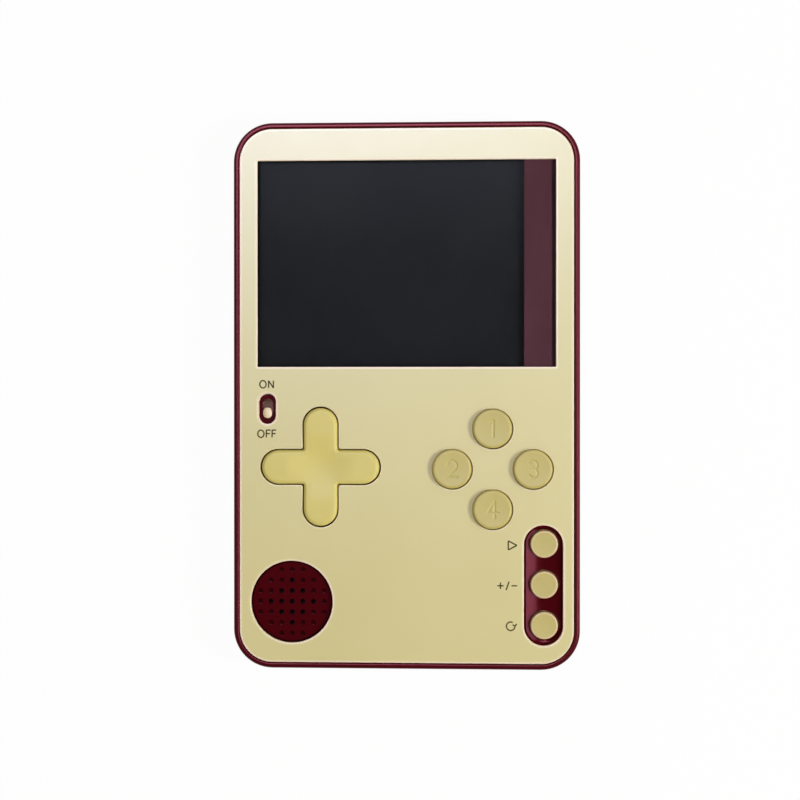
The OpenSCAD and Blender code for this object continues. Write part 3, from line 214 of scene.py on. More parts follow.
# Speaker
# A pressed basket and magnet cup, a copper voice coil under a film cone, a foam ring, and a woven
# dust cloth glued behind the grille.
def weave(tree, vector, pitch):
    """Plain weave: bands along X and along Y at the thread's pitch, the higher of the two on top."""
    warp = add(tree, "TexWave", {"Vector": vector, "Scale": wave_step / pitch}, bands_direction="X")
    weft = add(tree, "TexWave", {"Vector": vector, "Scale": wave_step / pitch}, bands_direction="Y")
    both = {0: warp.outputs["Fac"], 1: weft.outputs["Fac"]}
    return add(tree, "Math", both, operation="MAXIMUM").outputs[0]


def winding(tree, vector, pitch):
    """Turns of wire: bands along Z at the wire's pitch."""
    turns = {"Vector": vector, "Scale": wave_step / pitch}
    return add(tree, "TexWave", turns, bands_direction="Z").outputs["Fac"]


dust_cloth = surface(
    "woven_polyester_black", ("#050506", "#09090a"), patch=2, roughness=(0.7, 0.9),
    grain=0.3, relief=0.05,
    pattern=weave, Specular_IOR_Level=0.1,
)
cone_film = surface(
    "pressed_film", ("#2c2c2e", "#36363a"), patch=3, roughness=(0.3, 0.45), grain=0.4, relief=0.01,
)
coil_wire = surface(
    "enamelled_copper", ("#a9622f", "#bb7440"), patch=1, roughness=(0.25, 0.35),
    grain=0.12, relief=0.03,
    pattern=winding, Metallic=1.0,
)
foam = surface(
    "cut_foam_black", ("#222224", "#303032"), patch=1.2, roughness=(0.8, 0.95), grain=0.3, relief=0.08,
)
dress(dust_cloth, "speaker_cloth")
dress(cone_film, "speaker_cone")
dress(coil_wire, "speaker_coil")
dress(foam, "speaker_gasket", "screen_gasket")


# Keypads
# Grey silicone rubber, pressed in one sheet per group of keys, with a dome under each key and a
# carbon pill that closes the contact on the board.
silicone = surface(
    "pressed_silicone_grey", ("#85888b", "#93969a"), patch=4, roughness=(0.5, 0.62),
    grain=0.2, relief=0.006,
    Subsurface_Weight=0.15, Subsurface_Radius=(0.002, 0.002, 0.002), Subsurface_Scale=0.3,
)
carbon = surface(
    "pressed_carbon", ("#161617", "#212123"), patch=0.8, roughness=(0.6, 0.75), grain=0.1, relief=0.006,
)
dress(silicone, "cross_keypad", "action_keypad", "function_keypad")
dress(carbon, "cross_pills", *(f"action_pill_{place}" for place in ("top", "left", "right", "bottom")))
dress(carbon, *(f"function_pill_{place}" for place in ("top", "middle", "bottom")))


# Slide switch
# A cream lever on a brown slider that runs in a steel can. A ribbed shutter on the lever's neck
# closes the slot of the shell, wherever the lever stands.
def rounded_path(width, height, radius, centre, steps=12):
    """Outline of a rectangle with round corners, counter-clockwise, with its outward normals: each
    corner's middle plus the radius times the direction of an angle that turns once round."""
    quarter = np.linspace(0, np.pi / 2, steps)
    angle = (np.arange(4)[:, None] * np.pi / 2 + quarter).ravel()
    out = np.stack([np.cos(angle), np.sin(angle)], -1)
    corner = np.repeat([[1, 1], [-1, 1], [-1, -1], [1, -1]], steps, axis=0)
    points = corner * (np.array([width, height]) / 2 - radius) + radius * out + np.array(centre)
    apart = np.linalg.norm(points - np.roll(points, 1, axis=0), axis=1) > 1e-7
    return points[apart], out[apart]


def sweep(path, profile):
    """Rings of points: each step of the profile moves the outline out along its normals and up."""
    points, out = path
    side, height = np.array(profile).T
    plan = points + side[:, None, None] * out
    rise = np.broadcast_to(height[:, None, None], (*plan.shape[:2], 1))
    return np.concatenate([plan, rise], -1)


def walls(rings):
    """Quads that join each ring of points to the next, all the way round."""
    near = np.arange(rings.shape[0] * rings.shape[1]).reshape(rings.shape[:2])
    far = np.roll(near, -1, axis=1)
    return np.stack([near[:-1], near[1:], far[1:], far[:-1]], -1).reshape(-1, 4)


def closed(rings):
    """Closed skin over rings of points: walls between them, and a fan from the middle of the first
    and of the last ring. The sign of its volume tells which way the faces have to point."""
    count = rings.shape[0] * rings.shape[1]
    first = np.arange(rings.shape[1])
    last = first + count - rings.shape[1]
    fans = np.concatenate([
        np.stack([np.full_like(first, count), first, np.roll(first, -1)], -1),
        np.stack([np.full_like(last, count + 1), np.roll(last, -1), last], -1),
    ])
    points = np.concatenate([rings.reshape(-1, 3), rings[[0, -1]].mean(1)])
    quads = walls(rings)
    triangles = np.concatenate([quads[:, :3], quads[:, [0, 2, 3]], fans])
    a, b, c = (points - points.mean(0))[triangles].transpose(1, 0, 2)
    step = 1 if (a * np.cross(b, c)).sum() > 0 else -1
    return points, quads[:, ::step].tolist() + fans[:, ::step].tolist()


def piece(name, material, *skins):
    """One object from closed skins, shaded smooth across edges that turn less than the crease."""
    crease = np.radians(40)
    starts = np.cumsum([0] + [len(points) for points, faces in skins])
    faces = [
        (np.array(face) + start).tolist() for (_, part), start in zip(skins, starts) for face in part
    ]
    mesh = bpy.data.meshes.new(name)
    mesh.from_pydata(np.concatenate([points for points, _ in skins]).tolist(), [], faces)
    mesh.shade_smooth()
    mesh.set_sharp_from_angle(angle=crease)
    mesh.materials.append(material)
    made = bpy.data.objects.new(name, mesh)
    bpy.context.scene.collection.objects.link(made)
    return made


def corners(node):
    """Lowest and highest corner of a solid of the frame, as arrays."""
    return (np.array(corner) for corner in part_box(node))


# Moulded ABS in the keys' cream, a little duller than the plate from handling.
key_abs = surface(
    "moulded_abs_olive_cream", ("#c3b567", "#c9bb6e"), patch=7, roughness=(0.42, 0.52),
    grain=0.5, relief=0.004,
    IOR=1.53, Specular_IOR_Level=0.25,
)
# The same ABS in a paler shot, for the lever.
lever_abs = surface(
    "moulded_abs_pale_cream", ("#ecd8b4", "#f0ddba"), patch=2, roughness=(0.4, 0.5),
    grain=0.4, relief=0.004,
    IOR=1.53, Specular_IOR_Level=0.25,
)
# Glass-filled nylon: grey-brown and dry.
slider_nylon = surface(
    "filled_nylon_brown", ("#bd9785", "#c8a391"), patch=0.8, roughness=(0.5, 0.65),
    grain=0.12, relief=0.01,
    Specular_IOR_Level=0.1,
)
lever_size = (1.62 * MM, 2.0 * MM)
lever_shift = (-0.05 * MM, 0.17 * MM)
lever_dome = 0.3 * MM
neck_d = 1.6 * MM
neck_top = 7.25 * MM
neck_sink = 0.05 * MM
shutter_size = (2.3 * MM, 5.9 * MM)
shutter_low = 5.28 * MM
shutter_t = 0.4 * MM
shutter_bevel = 0.05 * MM
rib_pitch = 0.42 * MM
rib_rise = 0.12 * MM
rib_corner = rib_pitch * 0.2
rib_rows = rib_pitch * np.concatenate([np.arange(-6.5, -2), np.arange(2.5, 7)])
slider_corner = 0.3 * MM
slider_bevel = 0.15 * MM
slider_rise = 1.15 * MM
knob_low, knob_high = corners("switch_knob")
knob_middle = (knob_low + knob_high)[:2] / 2
slider_size = (knob_high - knob_low)[:2]
slider_top = knob_low[2] + slider_rise
share = np.linspace(0.02, 1, 12)
dome_profile = np.stack([
    lever_size[0] / 2 * (share - 1), knob_high[2] - lever_dome * share ** 2,
], -1).tolist()
lever_path = rounded_path(*lever_size, lever_size[0] / 2, knob_middle + lever_shift)
lever_skin = closed(sweep(lever_path, dome_profile + [[0, neck_top]]))
neck_path = rounded_path(neck_d, neck_d, neck_d / 2, knob_middle)
neck_skin = closed(sweep(neck_path, [[0, neck_top + neck_sink], [0, slider_top]]))
lever = piece("switch_lever", lever_abs, lever_skin, neck_skin)
slider_path = rounded_path(*slider_size, slider_corner, knob_middle, steps=5)
slider_skin = closed(sweep(slider_path, [
    [-slider_bevel, slider_top], [0, slider_top - slider_bevel], [0, knob_low[2]],
]))
shutter_top = shutter_low + shutter_t
shutter_path = rounded_path(*shutter_size, slider_corner, knob_middle, steps=5)
shutter_skin = closed(sweep(shutter_path, [
    [-shutter_bevel, shutter_top], [0, shutter_top - shutter_bevel], [0, shutter_low],
]))
rib_size = (shutter_size[0], rib_pitch * 0.5)
rib_top = shutter_top + rib_rise
rib_profile = [[-shutter_bevel, rib_top], [0, rib_top - shutter_bevel], [0, shutter_top]]
rib_skins = [
    closed(sweep(rounded_path(*rib_size, rib_corner, knob_middle + [0, row], steps=3), rib_profile))
    for row in rib_rows
]
slider = piece("switch_slider", slider_nylon, slider_skin, shutter_skin, *rib_skins)
for made in (lever, slider):
    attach(made, "knob")
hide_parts("switch_knob")


# Front shell
# The other half of the case, in the same dark red ABS but from a polished tool. Its rounded rim
# stands round the plate, and its floor shows in the slot, the switch well and the grille. Hands have
# dulled the rim and the outer walls, where a reflection spreads over the rounding.
def rim_mask(tree, place):
    """1 on the rim and the outer walls: a point counts where it lies further from the rectangle
    between the middles of the corners than the corners' radius less the rim's width."""
    rectangle = (*(np.array(cad_high)[:2] - corner_r), 1)
    mirrored = add(tree, "VectorMath", {0: place}, operation="ABSOLUTE").outputs[0]
    beyond = add(tree, "VectorMath", {0: mirrored, 1: rectangle}, operation="SUBTRACT").outputs[0]
    outside = add(tree, "VectorMath", {0: beyond, 1: (0, 0, 0)}, operation="MAXIMUM").outputs[0]
    reach = add(tree, "VectorMath", {0: outside}, operation="LENGTH").outputs["Value"]
    return add(tree, "Math", {0: reach, 1: corner_r - rim_w}, operation="GREATER_THAN").outputs[0]


corner_r = 7.3 * MM
rim_w = 1.3 * MM
rim_dulling = 0.14
# Polished ABS: a deep red gloss inside, duller on the rim.
polished_abs = surface(
    "polished_abs_red", ("#430006", "#4a0109"), patch=16, roughness=(0.17, 0.23),
    grain=0.9, relief=0.004,
    dulled=(rim_mask, rim_dulling), IOR=1.53, Specular_IOR_Level=0.3, Specular_Tint=linear("#ff8c94"),
)
dress(polished_abs, "front_shell")


# Screen
# Liquid-crystal glass with a dark polariser, in a white tray with its backlight. An amber polyimide
# flex folds from the glass to the board.
def conductors(tree, vector, pitch):
    """Copper lines side by side under the film: bands along Y at their pitch."""
    lines = {"Vector": vector, "Scale": wave_step / pitch}
    return add(tree, "TexWave", lines, bands_direction="Y").outputs["Fac"]


# Tray plastic: white, with a low even gloss.
tray = surface(
    "moulded_tray_white", ("#e0e0dc", "#ebebe7"), patch=6, roughness=(0.4, 0.5),
    grain=0.4, relief=0.004,
)
flex_film = surface(
    "copper_clad_polyimide", ("#a9681f", "#bd7f33"), patch=2, roughness=(0.3, 0.42),
    grain=0.5, relief=0.02,
    pattern=conductors,
)
# Polariser film over glass: near black with a cool cast that drifts over the panel.
polariser = surface(
    "polariser_film", ("#1a1c20", "#1f2123"), patch=14, roughness=(0.12, 0.2), grain=0.6, relief=0.001,
    IOR=1.5, Specular_IOR_Level=0.04,
)
dress(tray, "screen_backlight")
dress(flex_film, "screen_flex")
dress(polariser, "screen_glass")


# Cross key
# One moulding: four arms with round ends and a thumb dish in the middle, on a round flange that
# keeps it behind the shell.
def cross_path(span, arm, fillet, centre, steps=16):
    """Outline of a cross, counter-clockwise, with its outward normals: a half circle at the end of an
    arm and a hollow quarter circle in the corner after it, turned four times."""
    end = np.linspace(-np.pi / 2, np.pi / 2, 2 * steps)
    end_out = np.stack([np.cos(end), np.sin(end)], -1)
    end_points = [(span - arm) / 2, 0] + arm / 2 * end_out
    nook = np.linspace(1.5 * np.pi, np.pi, steps)
    nook_out = -np.stack([np.cos(nook), np.sin(nook)], -1)
    nook_points = arm / 2 + fillet - fillet * nook_out
    points = np.concatenate([end_points, nook_points])
    out = np.concatenate([end_out, nook_out])
    turn = np.arange(4) * np.pi / 2
    turned = np.array([[np.cos(turn), np.sin(turn)], [-np.sin(turn), np.cos(turn)]]).transpose(2, 0, 1)
    return (points @ turned).reshape(-1, 2) + np.array(centre), (out @ turned).reshape(-1, 2)


def rounded_edge(radius, top, steps=8):
    """Profile of a rounded upper edge: a quarter circle from the top out to the side."""
    turn = np.linspace(0, np.pi / 2, steps)
    return np.stack([radius * (np.sin(turn) - 1), top + radius * (np.cos(turn) - 1)], -1)


# The same ABS, a shade lighter than the round keys' material.
cross_abs = surface(
    "moulded_abs_light_olive", ("#d7ca74", "#dccf7b"), patch=9, roughness=(0.42, 0.52),
    grain=0.5, relief=0.004,
    IOR=1.53, Specular_IOR_Level=0.15,
)
cross_arm = 6.3 * MM
cross_fillet = 0.4 * MM
cross_round = 0.75 * MM
cross_flange_t = 0.8 * MM
cross_flange_d = 18 * MM
cross_flange_bevel = 0.1 * MM
dish_r = 6.8 * MM
dish_depth = 0.75 * MM
cross_low, cross_high = corners("cross_key")
cross_middle = (cross_low + cross_high)[:2] / 2
cross_span = (cross_high - cross_low)[0]
cross_flange_top = cross_low[2] + cross_flange_t
cross_edge = rounded_edge(cross_round, cross_high[2]).tolist()
cross_side = sweep(
    cross_path(cross_span, cross_arm, cross_fillet, cross_middle), cross_edge + [[0, cross_flange_top]],
)
inward = np.linspace(0.01, 0.98, 48)[:, None, None]
cross_top = np.array([*cross_middle, cross_high[2]]) * (1 - inward) + cross_side[0] * inward
for rings in (cross_top, cross_side[:-1]):
    reach = np.linalg.norm(rings[..., :2] - cross_middle, axis=-1)
    rings[..., 2] -= dish_depth * np.clip(1 - (reach / dish_r) ** 2, 0, 1) ** 2
cross_skin = closed(np.concatenate([cross_top, cross_side]))
flange_path = rounded_path(cross_flange_d, cross_flange_d, cross_flange_d / 2, cross_middle, steps=24)
flange_skin = closed(sweep(flange_path, [
    [-cross_flange_bevel, cross_flange_top],
    [0, cross_flange_top - cross_flange_bevel],
    [0, cross_low[2]],
]))
cross = piece("cross_cap", cross_abs, cross_skin, flange_skin)
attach(cross, "cross")
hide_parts("cross_key")


# Action keys
# Four round mouldings, each with a flange, a hollow top and a number sunk into it by the tool.
def arc(x, y, radius, first, last, steps=14):
    """Points of a circle from one angle to another, in degrees."""
    angle = np.radians(np.linspace(first, last, steps))
    return np.stack([x + radius * np.cos(angle), y + radius * np.sin(angle)], -1)


def stroke_distance(points, strokes):
    """Distance from points to the nearest stroke: on each straight stretch the foot of the
    perpendicular, held between its ends, is the nearest point."""
    start = np.concatenate([line[:-1] for line in strokes])
    along = np.concatenate([line[1:] for line in strokes]) - start
    offset = points[..., None, :] - start
    share = np.clip((offset * along).sum(-1) / (along ** 2).sum(-1), 0, 1)
    return np.linalg.norm(offset - share[..., None] * along, axis=-1).min(-1)


def key_cap(node, edge, flange_w, flange_t, dish, strokes=(), rows=60, columns=192):
    """Round key over its solid: a parabola for the hollow top, a quarter circle for its edge, a
    straight side and a flange. A stroke sinks the top along a smooth bell across its width."""
    low, high = corners(node)
    middle = (low + high)[:2] / 2
    flange_r = (high - low)[0] / 2
    cap_r = flange_r - flange_w
    share = np.linspace(0.01, 0.99, rows)
    rim = rounded_edge(edge, high[2])
    foot = [[cap_r, low[2] + flange_t], [flange_r, low[2] + flange_t], [flange_r, low[2]]]
    radius = np.concatenate([(cap_r - edge) * share, cap_r + rim[:, 0], [r for r, _ in foot]])
    height = np.concatenate([high[2] - dish * (1 - share ** 2), rim[:, 1], [z for _, z in foot]])
    angle = np.linspace(0, 2 * np.pi, columns, endpoint=False)
    plan = radius[:, None, None] * np.stack([np.cos(angle), np.sin(angle)], -1)
    rise = np.repeat(height[:, None], columns, axis=1)
    if strokes:
        across = stroke_distance(plan[:rows], strokes) / stroke_half
        rise[:rows] -= stroke_depth * (1 - np.clip(across, 0, 1) ** 2) ** 2
    return closed(np.concatenate([plan + middle, rise[..., None]], -1))


key_edge = 0.5 * MM
key_flange_w = 0.5 * MM
key_flange_t = 0.8 * MM
action_dish = 0.12 * MM
number_h = 3.1 * MM
stroke_half = 0.34 * MM
stroke_depth = 0.11 * MM
numbers = {
    "top": [[(-0.17, 0.3), (0.05, 0.5)], [(0.05, 0.5), (0.05, -0.5)]],
    "left": [np.concatenate([arc(0, 0.21, 0.29, 165, -40), [(-0.29, -0.5), (0.31, -0.5)]])],
    "right": [arc(0, 0.25, 0.25, 150, -90), arc(0, -0.24, 0.26, 90, -150)],
    "bottom": [[(0.13, -0.5), (0.13, 0.5)], [(0.13, 0.5), (-0.31, -0.2)], [(-0.31, -0.2), (0.33, -0.2)]],
}
for place, lines in numbers.items():
    node = f"action_key_{place}"
    strokes = [np.array(line) * number_h for line in lines]
    key = piece(f"action_cap_{place}", key_abs, key_cap(
        node, key_edge, key_flange_w, key_flange_t, action_dish, strokes))
    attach(key, f"action_{place}")
    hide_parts(node)


# Function keys
# Three small keys of the same kind, a shade darker than the action keys as painted shade of the slot,
# plain on top and with a painted highlight, paler and pinker, at the edge. They stand in a slot whose
# floor is a glossy red trough, clipped over the shell.
def middle_of(node):
    """Middle of a solid of the frame, seen from above."""
    low, high = corners(node)
    return (low + high)[:2] / 2


def paint_edge_highlight(made, share):
    """Keeps with each point of a piece how far it takes the shade of the painted edge highlight."""
    made.data.attributes.new("edge", "FLOAT", "POINT").data.foreach_set("value", np.float32(share))


def trough(key, low, high, columns=96, rows=16):
    """Skin of the slot's floor round one key. Rays run from the key's hole to the trough's edge, which
    is a straight side or a half circle, or to the lines low and high where the next key's stretch
    begins. The height is a parabola across the slot."""
    angle = np.linspace(0, 2 * np.pi, columns, endpoint=False) + np.pi / columns
    way = np.stack([np.cos(angle), np.sin(angle)], -1)
    start = key - slot_middle
    half = slot_w / 2 - trough_inset
    line = (slot_h - slot_w) / 2
    to_side = (np.sign(way[:, 0]) * half - start[0]) / way[:, 0]
    met = start[1] + to_side * way[:, 1]
    from_end = start - np.stack([np.zeros(columns), line * np.sign(met)], -1)
    along = (from_end * way).sum(-1)
    to_end = -along + np.sqrt(np.maximum(along ** 2 - (from_end ** 2).sum(-1) + half ** 2, 0))
    to_edge = np.where(abs(met) < line, to_side, to_end)
    to_line = np.where(way[:, 1] > 0, high - key[1], low - key[1]) / way[:, 1]
    reach = hole_r + np.linspace(0, 1, rows)[:, None] * (np.minimum(to_edge, to_line) - hole_r)
    plan = key + reach[..., None] * way
    spread = (plan - slot_middle)[..., 0] / half
    rise = trough_edge - trough_depth * (1 - spread ** 2)
    top = np.concatenate([plan, rise[..., None]], -1)
    rings = np.concatenate([top, top[::-1] - [0, 0, trough_t]])
    quads = walls(np.concatenate([rings, rings[:1]])) % (2 * rows * columns)
    return rings.reshape(-1, 3), quads.tolist()


# The keys' ABS again, a shade darker as painted shade of the slot, with a painted highlight, paler
# and pinker, round the small tops.
painted_edge_abs = surface(
    "moulded_abs_painted_edge_highlight", ("#c0b165", "#c6b86c"), patch=7, roughness=(0.42, 0.52),
    grain=0.5, relief=0.004,
    edge="#e0c398", IOR=1.53, Specular_IOR_Level=0.25,
)
function_places = ("top", "middle", "bottom")
function_dish = 0.06 * MM
function_edge = 0.25 * MM
# Width of the painted highlight round each top, and of its fade.
highlight_w = 0.4 * MM
highlight_fade = 0.2 * MM
for place in function_places:
    node = f"function_key_{place}"
    skin = key_cap(node, function_edge, key_flange_w, key_flange_t, function_dish, rows=24, columns=96)
    key = piece(f"function_cap_{place}", painted_edge_abs, skin)
    low, high = corners(node)
    highlight_r = (high - low)[0] / 2 - key_flange_w - highlight_w
    from_middle = np.linalg.norm(skin[0][:, :2] - middle_of(node), axis=1)
    on_top = skin[0][:, 2] > high[2] - highlight_w
    paint_edge_highlight(key, on_top * np.clip((from_middle - highlight_r) / highlight_fade, 0, 1))
    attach(key, f"function_{place}")
    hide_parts(node)
slot_w = 7.3 * MM
slot_shift = 0.15 * MM
hole_r = 2.73 * MM
trough_inset = 0.38 * MM
trough_edge = 7.21 * MM
trough_depth = 0.48 * MM
trough_t = 0.02 * MM
key_tops = np.array([middle_of(f"function_key_{place}") for place in function_places])
slot_middle = key_tops[1] - slot_shift
slot_h = slot_w + key_tops[0, 1] - key_tops[2, 1]
halfway = (key_tops[:-1, 1] + key_tops[1:, 1]) / 2
stretches = zip(key_tops, (*halfway, key_tops[2, 1] - slot_h), (key_tops[0, 1] + slot_h, *halfway))
floor_skins = [trough(key, low, high) for key, low, high in stretches]
slot_floor = piece("slot_floor", polished_abs, *floor_skins)
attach(slot_floor, "case")


# Face plate
# A cream plate of moulded acrylic, polished, taped into the recess of the front shell. Every edge is
# rounded by the tool, and a rebate under the window holds the lens.
def hole(path):
    """The same outline seen from the plate: run the other way, with its normals into the hole."""
    points, out = path
    return points[::-1], -out[::-1]


def fill(rings, start, up):
    """Flat triangles between outlines, all facing up or all facing down."""
    loops = [[Vector(point) for point in ring] for ring in rings]
    flat = np.concatenate(rings)
    index = np.array(tessellate_polygon(loops))
    a, b, c = flat[index].transpose(1, 0, 2)
    turned = np.cross(b - a, c - a)[:, 2] > 0
    index[turned != up] = index[turned != up][:, ::-1]
    return start[index].tolist()


def plate_skin(rims):
    """Closed plate from the walls along its outlines: flat triangles close it between all the first
    rings and between all the last ones."""
    starts = np.cumsum([0] + [rim.shape[0] * rim.shape[1] for rim in rims])
    quads = np.concatenate([walls(rim) + start for rim, start in zip(rims, starts)])
    first = np.concatenate([np.arange(rim.shape[1]) + start for rim, start in zip(rims, starts)])
    last = np.concatenate([np.arange(-rim.shape[1], 0) + end for rim, end in zip(rims, starts[1:])])
    top = fill([rim[0] for rim in rims], first, True)
    bottom = fill([rim[-1] for rim in rims], last, False)
    points = np.concatenate([rim.reshape(-1, 3) for rim in rims])
    return points, quads.tolist() + top + bottom


plate_round = 0.16 * MM
plate_corner = 6.15 * MM
# Flat bands inside the roundings, across which the painted edge highlight fades in.
wide_band = 0.32 * MM
key_band = 0.14 * MM
lens_step = 1.0 * MM
lens_step_t = 0.35 * MM
lens_gap = 0.1 * MM
window_corner = 0.12 * MM
cross_side_gap = 0.225 * MM
cross_end_gap = 0.29 * MM
key_gap = 0.13 * MM
key_lean = (0.07 * MM, -0.07 * MM)
well_w = 3.25 * MM
well_h = 5.77 * MM
well_shift = (-0.03 * MM, 0.06 * MM)
grille_d = 15.4 * MM
plate_low, plate_high = corners("face_plate")
lens_low, lens_high = corners("screen_lens")
window = (lens_high - lens_low)[:2] - 2 * lens_step
window_middle = (lens_low + lens_high)[:2] / 2
plate_top = rounded_edge(plate_round, plate_high[2]).tolist()
plate_edge = [[-plate_round - wide_band, plate_high[2]]] + plate_top + [[0, plate_low[2]]]
opening_edge = [[-plate_round - key_band, plate_high[2]]] + plate_top + [[0, plate_low[2]]]
window_edge = [[-plate_round - wide_band, plate_high[2]]] + plate_top + [
    [0, plate_low[2] + lens_step_t],
    [-lens_step - lens_gap, plate_low[2] + lens_step_t],
    [-lens_step - lens_gap, plate_low[2]],
]
action_low, action_high = corners("action_key_top")
action_d = (action_high - action_low)[0] - 2 * key_flange_w + 2 * key_gap
plate_path = rounded_path(*(plate_high - plate_low)[:2], plate_corner, (0, 0), steps=20)
openings = [
    rounded_path(slot_w, slot_h, slot_w / 2, slot_middle, steps=20),
    rounded_path(well_w, well_h, well_w / 2, middle_of("switch_can") + well_shift),
    rounded_path(grille_d, grille_d, grille_d / 2, middle_of("speaker_cloth"), steps=32),
]
cross_open = (cross_span + 2 * cross_end_gap, cross_arm + 2 * cross_side_gap)
key_openings = [cross_path(*cross_open, cross_fillet, cross_middle)]
key_openings += [
    rounded_path(action_d, action_d, action_d / 2, middle_of(f"action_key_{place}") + key_lean, steps=20)
    for place in numbers
]
window_path = rounded_path(*window, window_corner, window_middle, steps=4)
# Each outline with the profile of its edge and the strength of its painted highlight line.
outlines = [(plate_path, plate_edge, 1.0), (hole(window_path), window_edge, 1.0)]
outlines += [(hole(path), plate_edge, 1.0) for path in openings]
outlines += [(hole(path), opening_edge, 0.5) for path in key_openings]
plate_rims = [sweep(path, edge) for path, edge, _ in outlines]
# Satin acrylic: a broad soft gloss over an opaque cream, with a paler painted highlight along its
# edges.
satin_acrylic = surface(
    "satin_acrylic_cream", ("#d7cd8d", "#dbd193"), patch=22, roughness=(0.33, 0.37),
    grain=2.4, relief=0.003,
    edge="#fce8d2", IOR=1.49,
)
plate = piece("face_plate_cream", satin_acrylic, plate_skin(plate_rims))
# Painted glow: the edges' painted highlight is stronger on walls that face left and weaker on walls
# that face right, as if light from the right ran through the acrylic and left at the walls that face
# left.
painted_glow_mean = 0.72
painted_glow_swing = 0.28
painted_glow_share = np.concatenate([
    (np.arange(len(edge)) > 0)[:, None] * strength * (painted_glow_mean - painted_glow_swing * out[:, 0])
    for (_, out), edge, strength in outlines
], axis=None)
paint_edge_highlight(plate, painted_glow_share)
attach(plate, "case")
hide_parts("face_plate")


# Key domes
# The silicone under the action and function keys, in its real form: a flat sheet on the board with a
# hollow dome for each key. The real dome folds as the key goes down and lifts it again; here each dome
# stays fixed to the case.
def dome_skin(middle, base_r, top_r, low, high, hollow):
    """Hollow cone with a thick top, as rings from the ceiling inside, down, out and up to the top."""
    profile = [
        [top_r - dome_wall - base_r, low + hollow], [-dome_wall, low + keypad_t], [-dome_wall, low],
        [0, low], [0, low + keypad_t], [top_r - base_r, high - dome_top_t], [top_r - base_r, high],
    ]
    return closed(sweep(rounded_path(2 * base_r, 2 * base_r, base_r, middle, steps=16), profile))


keypad_t = 0.5 * MM
keypad_margin = 0.6 * MM
dome_wall = 0.4 * MM
dome_top_t = 0.5 * MM
pill_t = 0.3 * MM
stack_gap = 0.05 * MM
# Keys of each group, radius of a dome at its base and at its top, and travel of a key.
keypads = {
    "action": (tuple(numbers), 3.65 * MM, 2.5 * MM, 0.7 * MM),
    "function": (function_places, 2.525 * MM, 1.75 * MM, 0.5 * MM),
}
for group, (places, dome_r, dome_top_r, travel) in keypads.items():
    low, high = corners(f"{group}_keypad")
    pad_size = (high - low)[:2]
    pad_w = 2 * (dome_r + keypad_margin)
    pad_middle = middle_of(f"{group}_keypad")
    if group == "action":
        pad_path = cross_path(pad_size[0], pad_w, cross_fillet, pad_middle)
    else:
        pad_path = rounded_path(*pad_size, pad_w / 2, pad_middle)
    dome_middles = {place: middle_of(f"{group}_key_{place}") for place in places}
    sheet_profile = [[0, low[2] + keypad_t], [0, low[2]]]
    hole_d = 2 * dome_r - dome_wall
    sheet = piece(f"{group}_pad_sheet", silicone, plate_skin([sweep(pad_path, sheet_profile)] + [
        sweep(hole(rounded_path(hole_d, hole_d, hole_d / 2, middle, steps=16)), sheet_profile)
        for middle in dome_middles.values()
    ]))
    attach(sheet, "case")
    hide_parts(f"{group}_keypad")
    hollow = travel + stack_gap + pill_t
    for place, middle in dome_middles.items():
        skin = dome_skin(middle, dome_r, dome_top_r, low[2], high[2], hollow)
        dome = piece(f"{group}_dome_{place}", silicone, skin)
        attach(dome, "case")
        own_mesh(dome)


# Grille shadow ring
# A thin dark red ring on the shell's floor along the inside of the plate's round opening: painted
# shadow of the opening's edge, not a part of the console.
shadow_ring_w = 0.34 * MM
shadow_ring_low = 7.19 * MM
shadow_ring_high = 7.32 * MM
# Painted shadow: a flat dark red, dry, with no sheen.
shadow_ring_paint = surface(
    "painted_shadow_dark_red", ("#260205", "#2c0408"), patch=2, roughness=(0.6, 0.75),
    grain=0.2, relief=0.004,
    Specular_IOR_Level=0.0,
)
shadow_ring_d = grille_d - 2 * shadow_ring_w
shadow_ring_middle = middle_of("speaker_cloth")
shadow_ring_outer = rounded_path(grille_d, grille_d, grille_d / 2, shadow_ring_middle, steps=32)
shadow_ring_inner = rounded_path(shadow_ring_d, shadow_ring_d, shadow_ring_d / 2, shadow_ring_middle, steps=32)
shadow_ring_profile = [[0, shadow_ring_high], [0, shadow_ring_low]]
shadow_ring = piece("grille_shadow_ring", shadow_ring_paint, plate_skin([
    sweep(shadow_ring_outer, shadow_ring_profile), sweep(hole(shadow_ring_inner), shadow_ring_profile),
]))
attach(shadow_ring, "case")


# Lens, painted gap shade and strip
# A clear acrylic window, flush with the plate. A maroon strip at its right end is printed on its back,
# and under it a black line round the screen, wider on the left, is painted shade of the gap round the
# screen.
def clear(name, roughness, ior):
    """Clear sheet that lets lamps through: glass for sight, and open to shadow rays. Smears move the
    roughness between two values."""
    smear_size = 9 * MM
    material = bpy.data.materials.new(name)
    material.use_nodes = True
    tree = material.node_tree
    tree.nodes.clear()
    place = add(tree, "TexCoord").outputs["Object"]
    smears = add(tree, "TexNoise", {"Vector": place, "Scale": 1 / smear_size, "Detail": 4})
    haze = {"Value": smears.outputs[0], "To Min": roughness[0], "To Max": roughness[1]}
    glass = add(tree, "BsdfPrincipled", {
        "Base Color": linear("#fbfbfa"), "Roughness": add(tree, "MapRange", haze).outputs[0], "IOR": ior,
        "Transmission Weight": 1.0,
    })
    lamp_ray = add(tree, "LightPath").outputs["Is Shadow Ray"]
    through = add(tree, "BsdfTransparent")
    sheet = add(tree, "MixShader", {0: lamp_ray, 1: glass.outputs[0], 2: through.outputs[0]})
    add(tree, "OutputMaterial", {"Surface": sheet.outputs[0]})
    return material


# Cast acrylic: almost invisible, but for a thin gloss and the odd smear.
cast_acrylic = clear("cast_acrylic_clear", (0.02, 0.06), 1.49)
dress(cast_acrylic, "screen_lens")
